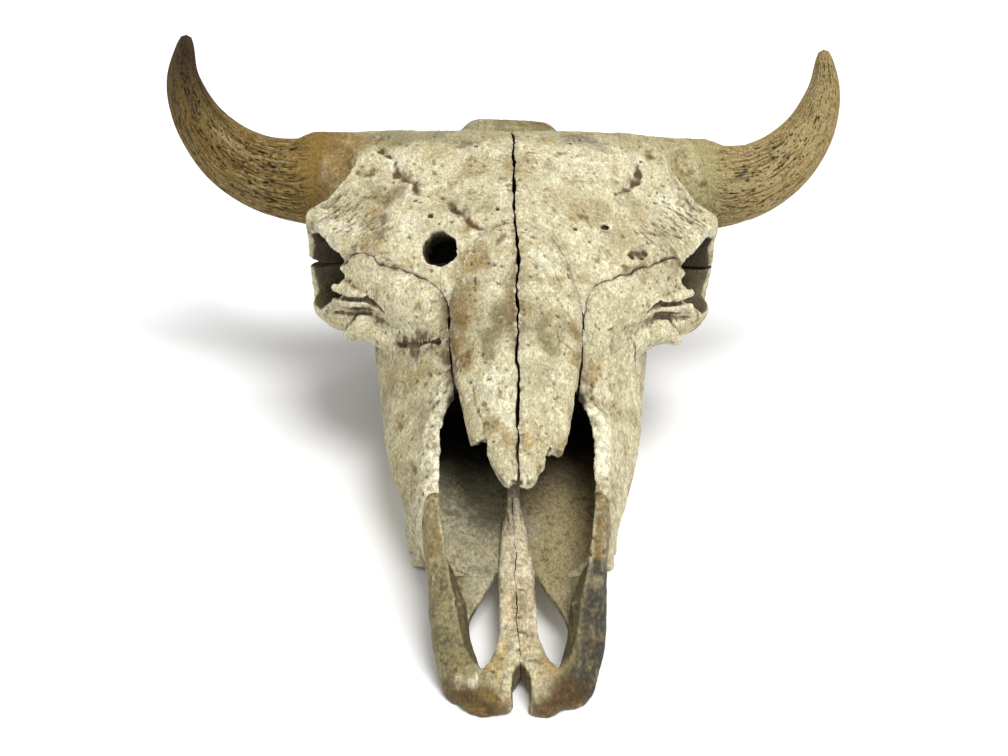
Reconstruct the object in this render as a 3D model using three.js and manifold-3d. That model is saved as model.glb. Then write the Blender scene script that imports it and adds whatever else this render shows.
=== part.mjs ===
// American bison skull without its lower jaw, life size, in millimetres.
// x runs to the viewer's right, y from the muzzle tip back to the poll, z up from the floor.
// The whole skull is one implicit body: a field that is negative inside bone. It is sampled on a grid,
// thinned to a few thousand triangles, and parted into its bones along the sutures with thin cuts.
// Horn cores and teeth are lofts.
import * as THREE from "three";
import { mergeGeometries, mergeVertices } from "three/addons/utils/BufferGeometryUtils.js";
import Module from "manifold-3d";

const wasm = await Module();
wasm.setup();

// Driving sizes
const SKULL_LENGTH = 548; // muzzle tip to the back of the condyles
const HEIGHT_LIMIT = 240; // above the forehead's highest point
const HALF_WIDTH_LIMIT = 176; // outside the orbit rims
const SUTURE_GAP = 0.3; // kept between neighbouring bones
const FIELD_STEP = 2.8; // sampling grid
const HALF_TRIANGLES = 2700; // for one half of the skull before it is parted
const MIDLINE_MARGIN = 10; // how far the sampled half reaches past the middle

// A smooth curve through [position, value] stations that never overshoots them, flat beyond its ends.
function through(...stations) {
  const last = stations.length - 1;
  const slopes = stations.slice(1).map(([p, v], i) => (v - stations[i][1]) / (p - stations[i][0]));
  const tangents = stations.map((_, i) => {
    if (i === 0 || i === last) return slopes[Math.min(i, last - 1)];
    const before = slopes[i - 1];
    const after = slopes[i];
    return before * after <= 0 ? 0 : (2 * before * after) / (before + after);
  });
  return (p) => {
    if (p <= stations[0][0]) return stations[0][1];
    if (p >= stations[last][0]) return stations[last][1];
    let i = 0;
    while (p > stations[i + 1][0]) i++;
    const span = stations[i + 1][0] - stations[i][0];
    const t = (p - stations[i][0]) / span;
    const u = 1 - t;
    const from = stations[i][1] * u * u * (1 + 2 * t) + tangents[i] * span * t * u * u;
    return from + stations[i + 1][1] * t * t * (3 - 2 * t) - tangents[i + 1] * span * t * t * u;
  };
}

// Field operations
function join(a, b, blend) {
  const h = Math.max(blend - Math.abs(a - b), 0) / blend;
  return Math.min(a, b) - (h * h * blend) / 4;
}
const common = (a, b, blend) => -join(-a, -b, blend);
const cut = (a, b, blend) => -join(-a, b, blend);

function ellipsoid(x, y, z, [cx, cy, cz], [rx, ry, rz]) {
  const qx = (x - cx) / rx;
  const qy = (y - cy) / ry;
  const qz = (z - cz) / rz;
  const k0 = Math.hypot(qx, qy, qz);
  const k1 = Math.hypot(qx / rx, qy / ry, qz / rz);
  return k1 === 0 ? -Math.min(rx, ry, rz) : (k0 * (k0 - 1)) / k1;
}

// A bar from a to b whose radius goes from ra to rb.
function bar(x, y, z, [ax, ay, az], [bx, by, bz], ra, rb) {
  const ex = bx - ax;
  const ey = by - ay;
  const ez = bz - az;
  const along = ((x - ax) * ex + (y - ay) * ey + (z - az) * ez) / (ex * ex + ey * ey + ez * ez);
  const t = Math.min(1, Math.max(0, along));
  return Math.hypot(x - ax - t * ex, y - ay - t * ey, z - az - t * ez) - (ra + t * (rb - ra));
}

// Dorsal profile of nasals and frontals on the midline, and how the roof falls off to each side
const roofHeight = through(
  [118, 96], [160, 124], [200, 148], [250, 176], [310, 203], [350, 217], [390, 227], [430, 231.5],
  [465, 226], [492, 213], [515, 205], [534, 196],
);
const roofReach = through(
  [118, 10], [135, 22], [150, 30], [165, 35], [195, 43], [218, 47.5], [250, 50], [286, 78], [322, 127],
  [354, 146], [384, 163], [412, 142], [450, 145], [500, 118], [534, 70],
);
const roofFall = through(
  [118, 5], [135, 12], [165, 22], [218, 27], [250, 23], [286, 45], [322, 32], [354, 41], [384, 47], [412, 22],
  [450, 11], [500, 14],
);
const roofBow = through([118, 2], [250, 2], [286, 1.6], [380, 1.6], [412, 3], [450, 3], [534, 2.4]);
const roofTop = (x, y) => roofHeight(y) - roofFall(y) * (x / roofReach(y)) ** roofBow(y);
const browReach = through(
  [262, 50], [300, 92], [322, 127], [340, 138], [354, 146], [375, 158], [384, 163], [389, 157], [395, 147],
  [401, 137.5], [408, 130], [418, 125], [432, 130], [450, 144], [475, 140], [500, 116], [515, 96], [526, 74],
  [534, 52],
);
const BROW_RIM = 11; // thickness of the brow over the eye
const BROW_DEPTH = 70; // extra thickness towards the midline

function cranialRoof(x, y, z) {
  const top = roofTop(x, y);
  const reach = browReach(y);
  const thick = BROW_RIM + BROW_DEPTH * Math.max(0, 1 - (x / reach) ** 2);
  const plate = common(z - top, top - thick - z, 8);
  return common(common(plate, x - reach, 4), Math.max(262 - y, y - 531), 8);
}

// Side wall of the face: half-width at the alveolar edge, at the widest level and at the upper edge
const alveolarReach = through(
  [0, 30], [33, 44], [60, 49], [100, 50], [130, 55], [160, 68], [200, 76], [240, 80], [286, 80], [330, 66],
);
const cheekReach = through(
  [0, 36], [33, 50], [60, 56], [100, 58.5], [120, 61], [150, 71], [181, 80], [210, 89], [240, 95], [286, 101],
  [330, 108],
);
const upperReach = through(
  [0, 30], [33, 46], [65, 53], [100, 57], [130, 60], [182, 61], [215, 53], [250, 52], [286, 60], [330, 84],
);
const alveolarLevel = through(
  [0, -1], [33, 3], [60, 9], [100, 16], [130, 22], [160, 28], [200, 32], [286, 34], [330, 44],
);
const cheekLevel = through(
  [0, 6], [33, 15], [60, 27], [100, 35], [150, 45], [200, 55], [240, 62], [286, 74], [330, 90],
);
const upperLevel = through(
  [0, 12], [33, 20], [50, 33], [75, 46], [100, 58], [150, 80], [185, 101], [215, 120], [250, 152], [286, 162],
  [330, 170],
);
const PALATE_VAULT = 7; // how much the palate arches between the tooth rows

function faceReach(y, z) {
  const low = alveolarLevel(y);
  const mid = cheekLevel(y);
  const high = upperLevel(y);
  if (z < mid) {
    const t = Math.max(-0.4, (z - mid) / (low - mid));
    return cheekReach(y) + (alveolarReach(y) - cheekReach(y)) * t * t;
  }
  const t = (z - mid) / (high - mid);
  return cheekReach(y) + (upperReach(y) - cheekReach(y)) * (0.35 * t + 0.65 * t * t);
}

// The rim of the nasal opening: the walls end on this line in front of the nasal bones' roots.
const openingRim = through(
  [0, 12], [33, 20], [50, 33], [75, 46], [100, 58], [125, 68], [150, 80], [185, 101], [215, 120], [250, 150],
);
const openingShare = through([196, 0], [238, 1]); // from the opening's rim to the closed roof
const wallThickness = through([33, 13], [60, 12], [100, 11], [150, 9], [215, 9], [260, 11]);
const floorLevel = through([33, 16], [60, 19], [100, 26], [130, 31], [160, 40], [200, 46], [250, 54]);
const NASAL_THICKNESS = 7.5;
const CAVITY_END = 292;

function face(x, y, z) {
  const share = openingShare(y);
  const lid = (1 - share) * openingRim(y) + (share ? share * roofTop(x, y) : 0);
  const outer = common(x - faceReach(y, z), z - lid, 5);
  const arch = PALATE_VAULT * Math.max(0, 1 - (x / alveolarReach(y)) ** 2) * Math.min(1, y / 120);
  const palate = alveolarLevel(y) + arch - z;
  const body = common(common(outer, palate, 6), Math.max(20 - y, y - 318 - 0.25 * (z - 34)), 6);
  const ceiling = share ? lid - NASAL_THICKNESS * share + 30 * (1 - share) : lid + 30;
  const inner = common(x - faceReach(y, z) + wallThickness(y), z - ceiling, 10);
  const cavity = common(common(inner, floorLevel(y) - z, 10), y - CAVITY_END, 16);
  return cut(body, cavity, 2);
}

// Nasal bones: the thin roof over the opening, arched and split at the tips
const nasalReach = through(
  [122, 6], [128, 11], [139, 17], [150, 22], [153, 28], [162, 31.5], [169, 33.5], [195, 39.5], [218, 45],
  [240, 48], [264, 49], [283, 43], [298, 33], [309, 21], [314, 4],
);
function nasalRoof(x, y, z) {
  const top = roofTop(x, y);
  const plate = common(z - top, top - NASAL_THICKNESS - z, 3);
  return common(common(plate, x - nasalReach(y), 3), Math.max(122 - y, y - 310), 3);
}

// Premaxilla: front plate, palatine process and the fissure between that and the side bar
const plateReach = through([0, 17], [4, 30], [9, 37.5], [15, 41.5], [22, 45], [30, 48.5], [50, 53]);
const plateTop = through([0, 9], [10, 13], [20, 16], [35, 20], [50, 24]);
const processReach = through([20, 30], [33, 22], [50, 15], [75, 12], [112, 11], [144, 8.5], [166, 5.5]);
const processTop = through([20, 16], [56, 21], [75, 24], [112, 33], [144, 43], [166, 51]);
const PROCESS_THICKNESS = 14;
function muzzlePlate(x, y, z) {
  const level = common(z - plateTop(y), alveolarLevel(y) - z, 4);
  const plate = common(common(level, x - plateReach(y), 6), Math.max(-y, y - 36), 5);
  const strip = common(z - processTop(y), processTop(y) - PROCESS_THICKNESS - z, 3);
  const tongue = common(strip, x - processReach(y), 3);
  return join(plate, common(tongue, Math.max(20 - y, y - 167), 2), 5);
}
const fissureOuter = through(
  [31, 23.7], [40, 27.8], [50, 31], [60, 32.6], [70, 33.1], [80, 31], [90, 26.6], [100, 21], [110, 16.5],
  [120, 13],
);
const fissureInner = through(
  [31, 23.7], [40, 19.7], [50, 16.4], [60, 13.8], [70, 12.3], [90, 12.4], [120, 12.8],
);
const FISSURE_ENDS = [31, 120];
const notchReach = through([-2, 3.4], [8, 5], [20, 3], [33, 0.2]);
function muzzleGaps(x, y, z) {
  const ends = Math.max(FISSURE_ENDS[0] - y, y - FISSURE_ENDS[1], z - 60);
  const fissure = Math.max(x - fissureOuter(y), fissureInner(y) - x, ends);
  const notch = Math.max(x - notchReach(y), y - 33);
  return Math.min(fissure, notch);
}

// Vomer: a low keel on the floor of the nasal opening
const vomerTop = through([150, 48], [180, 62], [230, 84], [290, 100]);
function vomer(x, y, z) {
  const keel = common(z - vomerTop(y), floorLevel(y) - 4 - z, 4);
  return common(common(keel, x - 4.5, 3), Math.max(150 - y, y - 300), 4);
}

// Eye socket: a rim ring that faces sideways and a little forward, with a deep hollow behind it
const EYE_CENTRE = [140.5, 354, 141.5];
const EYE_TURN = THREE.MathUtils.degToRad(21); // the rim's front edge lies nearer the midline
const EYE_RING = 36.5;
const EYE_RIM = 5.5;
const EYE_HOLLOW = [[-6, 2, -1], [62, 32, 26]]; // out, across and up in the rim's own directions
function eyeFrame(x, y, z) {
  const dx = x - EYE_CENTRE[0];
  const dy = y - EYE_CENTRE[1];
  const out = dx * Math.cos(EYE_TURN) - dy * Math.sin(EYE_TURN);
  const across = dx * Math.sin(EYE_TURN) + dy * Math.cos(EYE_TURN);
  return [out, across, z - EYE_CENTRE[2]];
}
function eyeRim(x, y, z) {
  const [out, across, up] = eyeFrame(x, y, z);
  const ring = Math.hypot(out, Math.hypot(across, up) - EYE_RING) - EYE_RIM;
  return common(ring, z - roofTop(x, y), 2);
}
function eyeHollow(x, y, z) {
  const [out, across, up] = eyeFrame(x, y, z);
  return ellipsoid(out, across, up, ...EYE_HOLLOW);
}

// Lacrimal plate between the side of the face and the front of the eye's rim
function lacrimalPlate(x, y, z) {
  return bar(x, y, z, [62, 297, 144], [109, 330, 149], 30, 23);
}

// Cheek bone and the arch back to the temporal bone
const ARCH = [[84, 288, 116], [138, 332, 124], [148, 362, 115], [131, 402, 84], [112, 432, 90]];
const ARCH_RADII = [10, 10, 9, 10, 13];
const ARCH_STRETCH = 1.2; // the arch is taller than thick
function cheekArch(x, y, z) {
  let field = Infinity;
  const squashed = ([px, py, pz]) => [px, py, pz / ARCH_STRETCH];
  for (let i = 0; i + 1 < ARCH.length; i++) {
    const ends = [squashed(ARCH[i]), squashed(ARCH[i + 1])];
    const piece = bar(x, y, z / ARCH_STRETCH, ...ends, ARCH_RADII[i], ARCH_RADII[i + 1]);
    field = i ? join(field, piece, 8) : piece;
  }
  return field;
}

// Behind the eye a plate stands between brow and cheek, and under the eye the cheek bone has a knob
const BAR_PLATE = [[149, 391, 178], [147, 388, 104]];
const BAR_RADII = [8, 7];
const BAR_STRETCH = 2; // the plate is wider than thick
function barPlate(x, y, z) {
  const [from, to] = BAR_PLATE.map(([px, py, pz]) => [px / BAR_STRETCH, py, pz]);
  return bar(x / BAR_STRETCH, y, z, from, to, ...BAR_RADII);
}
const CHEEK_KNOB = [[114, 300, 124], [125, 304, 115], 9, 5];

// Where a horn core stands on its frontal: a slanted flat face
const HORN_ROOT = [152, 455, 184];
const HORN_ROOT_SLANT = 0.3; // the face leans back by this much a millimetre
const hornRootSide = (x, y) => x - HORN_ROOT[0] + HORN_ROOT_SLANT * (y - HORN_ROOT[1]);

// Braincase, back of the skull and base
const backReach = through([30, 52], [70, 96], [100, 121], [140, 112], [180, 84], [203, 46], [218, 35]);
const backPlace = through([40, 492], [120, 498], [216, 512]);
const BACK_THICKNESS = 30;
const BACK_LEVELS = [56, 218];
const VAULT = [[0, 448, 128], [80, 100, 74]]; // round the brain
const BETWEEN_EYES = [[0, 348, 136], [66, 80, 64]];
const PEDICLE = [[96, 448, 187], [190, 470, 183], 37, 35]; // the horn's neck
const NECK_SADDLE = [[114, 434, 190], [152, 456, 184], 24, 34]; // between the neck and the brow's crest
const JAW_HOLLOW = [[96, 432, 94], [38, 24, 15]]; // where the lower jaw would hang
const MASTOID = [[100, 480, 104], [20, 26, 40]];
const BASE = [[0, 522, 84], [0, 335, 96], 28, 24];
function braincase(x, y, z) {
  const vault = ellipsoid(x, y, z, ...VAULT);
  const between = ellipsoid(x, y, z, ...BETWEEN_EYES);
  const sheet = common(Math.abs(y - backPlace(z)) - BACK_THICKNESS / 2, x - backReach(z), 14);
  const back = common(sheet, Math.max(z - BACK_LEVELS[1], BACK_LEVELS[0] - z), 8);
  const neck = join(bar(x, y, z, ...PEDICLE), bar(x, y, z, ...NECK_SADDLE), 10);
  const pedicle = common(neck, hornRootSide(x, y) - 3, 3);
  const side = join(ellipsoid(x, y, z, ...JAW_HOLLOW), ellipsoid(x, y, z, ...MASTOID), 12);
  const upper = join(join(vault, between, 30), join(back, pedicle, 12), 22);
  return join(upper, join(side, bar(x, y, z, ...BASE), 14), 16);
}
const CONDYLE = [[34, 528, 84], [27, 20, 31]];
const JUGULAR = [[78, 496, 92], [68, 503, 2], 20, 8]; // the process beside the condyle, down to the floor
const BULLA = [[48, 466, 58], [15, 24, 20]];
const WING = { x: 31, y: 344, half: 44, thick: 11, low: 38, high: 100 }; // pterygoid plate
const WING_RISE = 0.42; // slope of its lower edge
const WING_FLARE = 0.05;
function underside(x, y, z) {
  const process = join(ellipsoid(x, y, z, ...CONDYLE), bar(x, y, z, ...JUGULAR), 8);
  const edge = WING.low + WING_RISE * Math.max(0, y - WING.y + WING.half / 2);
  const sheet = Math.abs(x - WING.x - WING_FLARE * (y - WING.y)) - WING.thick / 2;
  const length = Math.abs(y - WING.y) - WING.half;
  const wing = common(Math.max(sheet, length), Math.max(edge - z, z - WING.high), 6);
  return join(process, join(ellipsoid(x, y, z, ...BULLA), wing, 4), 6);
}
const MARROW_HOLE = [[0, 540, 104], [19, 44, 18]];
const EAR_CANAL = [[128, 462, 104], [95, 462, 108], 7, 6];

// The half skull's field: negative inside bone
function skullField(signedX, y, z) {
  const x = Math.abs(signedX);
  let field = Math.min(cranialRoof(x, y, z), face(x, y, z), nasalRoof(x, y, z));
  field = join(field, braincase(x, y, z), 12);
  field = join(field, lacrimalPlate(x, y, z), 14);
  field = join(field, join(cheekArch(x, y, z), eyeRim(x, y, z), 12), 8);
  field = join(field, bar(x, y, z, ...CHEEK_KNOB), 8);
  field = cut(field, eyeHollow(x, y, z), 4);
  field = join(field, barPlate(x, y, z), 8);
  field = join(field, underside(x, y, z), 10);
  field = join(field, Math.min(muzzlePlate(x, y, z), vomer(x, y, z)), 4);
  field = cut(field, muzzleGaps(x, y, z), 1.5);
  field = cut(field, ellipsoid(x, y, z, ...MARROW_HOLE), 4);
  return cut(field, bar(x, y, z, ...EAR_CANAL), 3);
}

// Samples a field over a box and returns its zero surface.
// Each grid cell is split into six tetrahedra, and the surface crosses a tetrahedron in one or two
// triangles, so it is always closed.
const NEAREST = 0.06; // a crossing keeps this share of an edge away from its ends
function surfaceOf(field, low, high, step) {
  const [nx, ny, nz] = low.map((v, i) => Math.ceil((high[i] - v) / step) + 1);
  const at = (i, j, k) => (k * ny + j) * nx + i;
  const values = new Float32Array(nx * ny * nz);
  for (let k = 0; k < nz; k++)
    for (let j = 0; j < ny; j++)
      for (let i = 0; i < nx; i++) {
        const edge = i === 0 || j === 0 || k === 0 || i === nx - 1 || j === ny - 1 || k === nz - 1;
        const [x, y, z] = [low[0] + i * step, low[1] + j * step, low[2] + k * step];
        values[at(i, j, k)] = edge ? step / 4 : field(x, y, z);
      }
  const offset = [0, 1, 2, 3, 4, 5, 6, 7].map((c) => at(c & 1, (c >> 1) & 1, c >> 2));
  const tetrahedra = [[1, 2], [2, 1], [1, 4], [4, 1], [2, 4], [4, 2]].map(([a, b]) => [0, a, a | b, 7]);
  const points = [];
  const faces = [];
  const vertexOf = new Map();
  const placeOf = (n) => {
    const indices = [n % nx, Math.floor(n / nx) % ny, Math.floor(n / (nx * ny))];
    return indices.map((v, c) => low[c] + v * step);
  };
  const crossing = (a, b) => {
    const key = Math.min(a, b) * values.length + Math.max(a, b);
    if (!vertexOf.has(key)) {
      const t = Math.min(1 - NEAREST, Math.max(NEAREST, values[a] / (values[a] - values[b])));
      const from = placeOf(a);
      const to = placeOf(b);
      vertexOf.set(key, points.length);
      points.push(from.map((v, c) => v + t * (to[c] - v)));
    }
    return vertexOf.get(key);
  };
  const addFace = (face, inner, outer) => {
    const [a, b, c] = face.map((v) => points[v]);
    const from = placeOf(inner);
    const to = placeOf(outer);
    const [ux, uy, uz] = b.map((v, i) => v - a[i]);
    const [vx, vy, vz] = c.map((v, i) => v - a[i]);
    const facing = (uy * vz - uz * vy) * (to[0] - from[0]) + (uz * vx - ux * vz) * (to[1] - from[1]);
    const outward = facing + (ux * vy - uy * vx) * (to[2] - from[2]) > 0;
    faces.push(outward ? face : [face[0], face[2], face[1]]);
  };
  for (let k = 0; k + 1 < nz; k++)
    for (let j = 0; j + 1 < ny; j++)
      for (let i = 0; i + 1 < nx; i++) {
        const cell = offset.map((o) => at(i, j, k) + o);
        const within = cell.filter((n) => values[n] < 0).length;
        if (within === 0 || within === 8) continue;
        for (const tetrahedron of tetrahedra) {
          const inner = tetrahedron.map((c) => cell[c]).filter((n) => values[n] < 0);
          const outer = tetrahedron.map((c) => cell[c]).filter((n) => values[n] >= 0);
          if (!inner.length || !outer.length) continue;
          const ring = inner.length === 2
            ? [[0, 0], [0, 1], [1, 1], [1, 0]].map(([a, b]) => crossing(inner[a], outer[b]))
            : inner.flatMap((a) => outer.map((b) => crossing(a, b)));
          addFace(ring.slice(0, 3), inner[0], outer[0]);
          if (ring.length === 4) addFace([ring[0], ring[2], ring[3]], inner[1], outer[0]);
        }
      }
  return { points, faces };
}

// Thins a closed surface: the edge whose removal moves the surface least goes first, until few are left.
const LONG_EDGE_COST = 1e-3; // keeps triangles from growing slivers
function thinned({ points, faces }, target) {
  const quadrics = points.map(() => new Float64Array(10));
  const ring = points.map(() => new Set());
  const sub = (a, b) => [a[0] - b[0], a[1] - b[1], a[2] - b[2]];
  const cross = (a, b) => [a[1] * b[2] - a[2] * b[1], a[2] * b[0] - a[0] * b[2], a[0] * b[1] - a[1] * b[0]];
  const dot = (a, b) => a[0] * b[0] + a[1] * b[1] + a[2] * b[2];
  faces.forEach((face, f) => {
    const [a, b, c] = face.map((v) => points[v]);
    const normal = cross(sub(b, a), sub(c, a));
    const area = Math.sqrt(dot(normal, normal)) || 1;
    const [p, q, r] = normal.map((v) => v / area);
    const d = -(p * a[0] + q * a[1] + r * a[2]);
    const plane = [p * p, p * q, p * r, p * d, q * q, q * r, q * d, r * r, r * d, d * d];
    for (const v of face) {
      ring[v].add(f);
      plane.forEach((w, i) => (quadrics[v][i] += w * area));
    }
  });
  const errorAt = (m, [x, y, z]) =>
    m[0] * x * x + m[4] * y * y + m[7] * z * z + m[9] +
    2 * (m[1] * x * y + m[2] * x * z + m[5] * y * z + m[3] * x + m[6] * y + m[8] * z);
  const stamp = new Int32Array(points.length);
  const heap = [];
  const swap = (i, j) => ([heap[i], heap[j]] = [heap[j], heap[i]]);
  const push = (entry) => {
    heap.push(entry);
    const above = (i) => (i - 1) >> 1;
    for (let i = heap.length - 1; i && heap[i].cost < heap[above(i)].cost; i = above(i)) swap(i, above(i));
  };
  const pop = () => {
    swap(0, heap.length - 1);
    const entry = heap.pop();
    for (let i = 0; ; ) {
      let least = i;
      for (const j of [2 * i + 1, 2 * i + 2]) {
        if (j < heap.length && heap[j].cost < heap[least].cost) least = j;
      }
      if (least === i) return entry;
      swap(i, least);
      i = least;
    }
  };
  const offer = (a, b) => {
    const m = quadrics[a].map((v, i) => v + quadrics[b][i]);
    const span = sub(points[a], points[b]);
    const middle = points[a].map((v, i) => (v + points[b][i]) / 2);
    const places = [middle, points[a], points[b]];
    const c0 = [m[0], m[1], m[2]];
    const c1 = [m[1], m[4], m[5]];
    const c2 = [m[2], m[5], m[7]];
    const right = [-m[3], -m[6], -m[8]];
    const det = dot(c0, cross(c1, c2));
    if (Math.abs(det) > 1e-3 * (m[0] + m[4] + m[7]) ** 3 / 27) {
      const shares = [dot(right, cross(c1, c2)), dot(c0, cross(right, c2)), dot(c0, cross(c1, right))];
      const best = shares.map((v) => v / det);
      const away = sub(best, middle);
      if (dot(away, away) < 4 * dot(span, span)) places.push(best);
    }
    const ranked = places.map((place) => [errorAt(m, place), place]).sort((p, q) => p[0] - q[0]);
    const cost = ranked[0][0] + LONG_EDGE_COST * dot(span, span) ** 2;
    push({ cost, a, b, place: ranked[0][1], at: stamp[a], bt: stamp[b] });
  };
  const neighbours = (v) => {
    const found = new Set();
    for (const f of ring[v]) for (const w of faces[f]) if (w !== v) found.add(w);
    return found;
  };
  const folds = (v, other, place) => {
    for (const f of ring[v]) {
      if (faces[f].includes(other)) continue;
      const before = faces[f].map((w) => points[w]);
      const after = faces[f].map((w) => (w === v ? place : points[w]));
      const n0 = cross(sub(before[1], before[0]), sub(before[2], before[0]));
      const n1 = cross(sub(after[1], after[0]), sub(after[2], after[0]));
      if (dot(n0, n1) < 0.3 * Math.sqrt(dot(n0, n0) * dot(n1, n1))) return true;
    }
    return false;
  };
  points.forEach((_, v) => neighbours(v).forEach((w) => v < w && offer(v, w)));
  let left = faces.length;
  while (left > target && heap.length) {
    const { a, b, place, at, bt } = pop();
    if (stamp[a] !== at || stamp[b] !== bt || !ring[a] || !ring[b]) continue;
    const nextToB = neighbours(b);
    const shared = [...neighbours(a)].filter((v) => nextToB.has(v));
    if (shared.length !== 2 || folds(a, b, place) || folds(b, a, place)) continue;
    for (const f of ring[b]) {
      if (faces[f].includes(a)) {
        faces[f].forEach((v) => v !== b && ring[v].delete(f));
        faces[f] = null;
        left--;
      } else {
        faces[f] = faces[f].map((v) => (v === b ? a : v));
        ring[a].add(f);
      }
    }
    points[a] = place;
    quadrics[b].forEach((v, i) => (quadrics[a][i] += v));
    ring[b] = null;
    stamp[a]++;
    for (const v of neighbours(a)) offer(a, v);
  }
  return { points, faces: faces.filter(Boolean) };
}

function geometryOf({ points, faces }) {
  const geometry = new THREE.BufferGeometry();
  geometry.setAttribute("position", new THREE.Float32BufferAttribute(points.flat(), 3));
  geometry.setIndex(faces.flat());
  return geometry;
}

// Closed solids from geometry, and back. Corners lie on a fine grid, so that near ones become one.
const WELD = 1e-3;
function solidOf(geometry) {
  const plain = new THREE.BufferGeometry();
  const loose = geometry.getAttribute("position").array;
  const snapped = Float32Array.from(loose, (v) => Math.round(v / WELD) * WELD);
  plain.setAttribute("position", new THREE.BufferAttribute(snapped, 3));
  plain.setIndex(geometry.getIndex());
  const welded = mergeVertices(plain, WELD / 4);
  const vertProperties = new Float32Array(welded.getAttribute("position").array);
  const corners = [...welded.getIndex().array];
  const triVerts = [];
  for (let i = 0; i < corners.length; i += 3) {
    const [a, b, c] = corners.slice(i, i + 3);
    if (a !== b && b !== c && c !== a) triVerts.push(a, b, c);
  }
  const mesh = new wasm.Mesh({ numProp: 3, vertProperties, triVerts: new Uint32Array(triVerts) });
  return new wasm.Manifold(mesh);
}
function geometryFrom(solid) {
  const { vertProperties, triVerts } = solid.getMesh();
  const geometry = new THREE.BufferGeometry();
  geometry.setAttribute("position", new THREE.Float32BufferAttribute(vertProperties, 3));
  geometry.setIndex([...triVerts]);
  return geometry;
}
const largest = (solid) => solid.decompose().sort((a, b) => b.volume() - a.volume())[0];

function block([x0, y0, z0], [x1, y1, z1]) {
  const geometry = new THREE.BoxGeometry(x1 - x0, y1 - y0, z1 - z0);
  return solidOf(geometry.translate((x0 + x1) / 2, (y0 + y1) / 2, (z0 + z1) / 2));
}

// Prisms for cutting: an outline in plan [x, y] standing up, or one in side view [y, z] reaching across
const REACH = 400;
function uprightPrism(outline) {
  const shape = new THREE.Shape(outline.map(([x, y]) => new THREE.Vector2(x, y)));
  const geometry = new THREE.ExtrudeGeometry(shape, { depth: REACH, bevelEnabled: false });
  return solidOf(geometry.translate(0, 0, -50));
}
function acrossPrism(outline) {
  const shape = new THREE.Shape(outline.map(([y, z]) => new THREE.Vector2(y, z)));
  const geometry = new THREE.ExtrudeGeometry(shape, { depth: REACH, bevelEnabled: false });
  const turned = new THREE.Matrix4().makeBasis(
    new THREE.Vector3(0, 1, 0), new THREE.Vector3(0, 0, 1), new THREE.Vector3(1, 0, 0),
  );
  return solidOf(geometry.applyMatrix4(turned).translate(-50, 0, 0));
}

// Moves a closed outline inwards by the suture gap.
function shrunk(outline) {
  const clockwise = THREE.ShapeUtils.isClockWise(outline.map(([a, b]) => new THREE.Vector2(a, b)));
  const side = clockwise ? -SUTURE_GAP : SUTURE_GAP;
  return outline.map(([a, b], i) => {
    const [pa, pb] = outline[(i + outline.length - 1) % outline.length];
    const [na, nb] = outline[(i + 1) % outline.length];
    const into = new THREE.Vector2(a - pa, b - pb).normalize();
    const out = new THREE.Vector2(na - a, nb - b).normalize();
    const bend = Math.max(0.3, 1 + into.dot(out));
    return [a - ((into.y + out.y) * side) / bend, b + ((into.x + out.x) * side) / bend];
  });
}

// A bone's cell is where its plan and side outlines meet; with a gap it is a little smaller all round.
function cell({ plan, side }, gap) {
  const fit = gap ? shrunk : (outline) => outline;
  if (!side) return uprightPrism(fit(plan));
  if (!plan) return acrossPrism(fit(side));
  return uprightPrism(fit(plan)).intersect(acrossPrism(fit(side)));
}
function steps(from, to, count) {
  return Array.from({ length: count + 1 }, (_, i) => from + ((to - from) * i) / count);
}

// Sutures of the half skull
const NASAL_FREE = 1.6; // the nasal's cell is this much wider in front of its root
const nasalFree = through([205, NASAL_FREE], [226, 0]);
const nasalDepth = through([100, 40], [250, 36], [285, 24], [314, 13]);
const nasalCell = {
  plan: [
    [-20, 100], [12, 100], ...steps(116, 313, 24).map((y) => [nasalReach(y) + nasalFree(y), y]), [-20, 314],
  ],
  side: [[90, 300], ...steps(90, 330, 8).map((y) => [y, roofHeight(y) - nasalDepth(y)]), [330, 300]],
};
const muzzleCell = {
  side: [[-30, -30], [104, -30], [104, 12], [126, 45], [148, 84], [152, 110], [-30, 110]],
};
const tongueCell = {
  plan: [[-30, 80], ...steps(80, 168, 6).map((y) => [processReach(y) + 1.5, y]), [-30, 168]],
  side: [[80, 5], [168, 26], [168, 64], [80, 60]],
};
const vomerCell = {
  plan: [[-30, 168], [6.5, 168], [6.5, 292], [-30, 292]],
  side: [[160, 37], [300, 51], [300, 108], [250, 98], [160, 64]],
};
const lacrimalCell = {
  plan: [
    [170, 323], [130, 321], [118, 318], [105, 312], [90, 302], [76, 293], [63, 282], [55, 275], [51, 267],
    [49.5, 258], [49.5, 230], [170, 230],
  ],
  side: [
    [230, 152], [243, 138], [258, 130], [276, 125], [284, 132], [289, 135], [301, 138], [310, 132],
    [318, 124], [345, 118], [345, 260], [230, 260],
  ],
};
const cheekCell = {
  plan: [[84, 280], [120, 284], [200, 320], [200, 404], [112, 404], [100, 372], [98, 330], [90, 302]],
  side: [[276, 98], [300, 92], [335, 88], [362, 66], [410, 50], [410, 140], [276, 140]],
};
const ROOF_BASE = 140; // the frontals' lower limit at the sides
const frontalCell = { side: [[258, ROOF_BASE], [497, ROOF_BASE], [497, 300], [258, 300]] };
const parietalCell = { side: [[497, 150], [600, 150], [600, 300], [490, 300], [490, 160]] };
const backCell = { side: [[474, -20], [600, -20], [600, 300], [474, 300]] };
const templeCell = { plan: [[58, 396], [250, 396], [250, 480], [58, 480]] };
const palatineCell = {
  plan: [[-30, 248], [34, 248], [47, 270], [47, 400], [-30, 400]],
  side: [[240, -20], [400, -20], [400, 77], [300, 77], [285, 66], [240, 60]],
};
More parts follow.
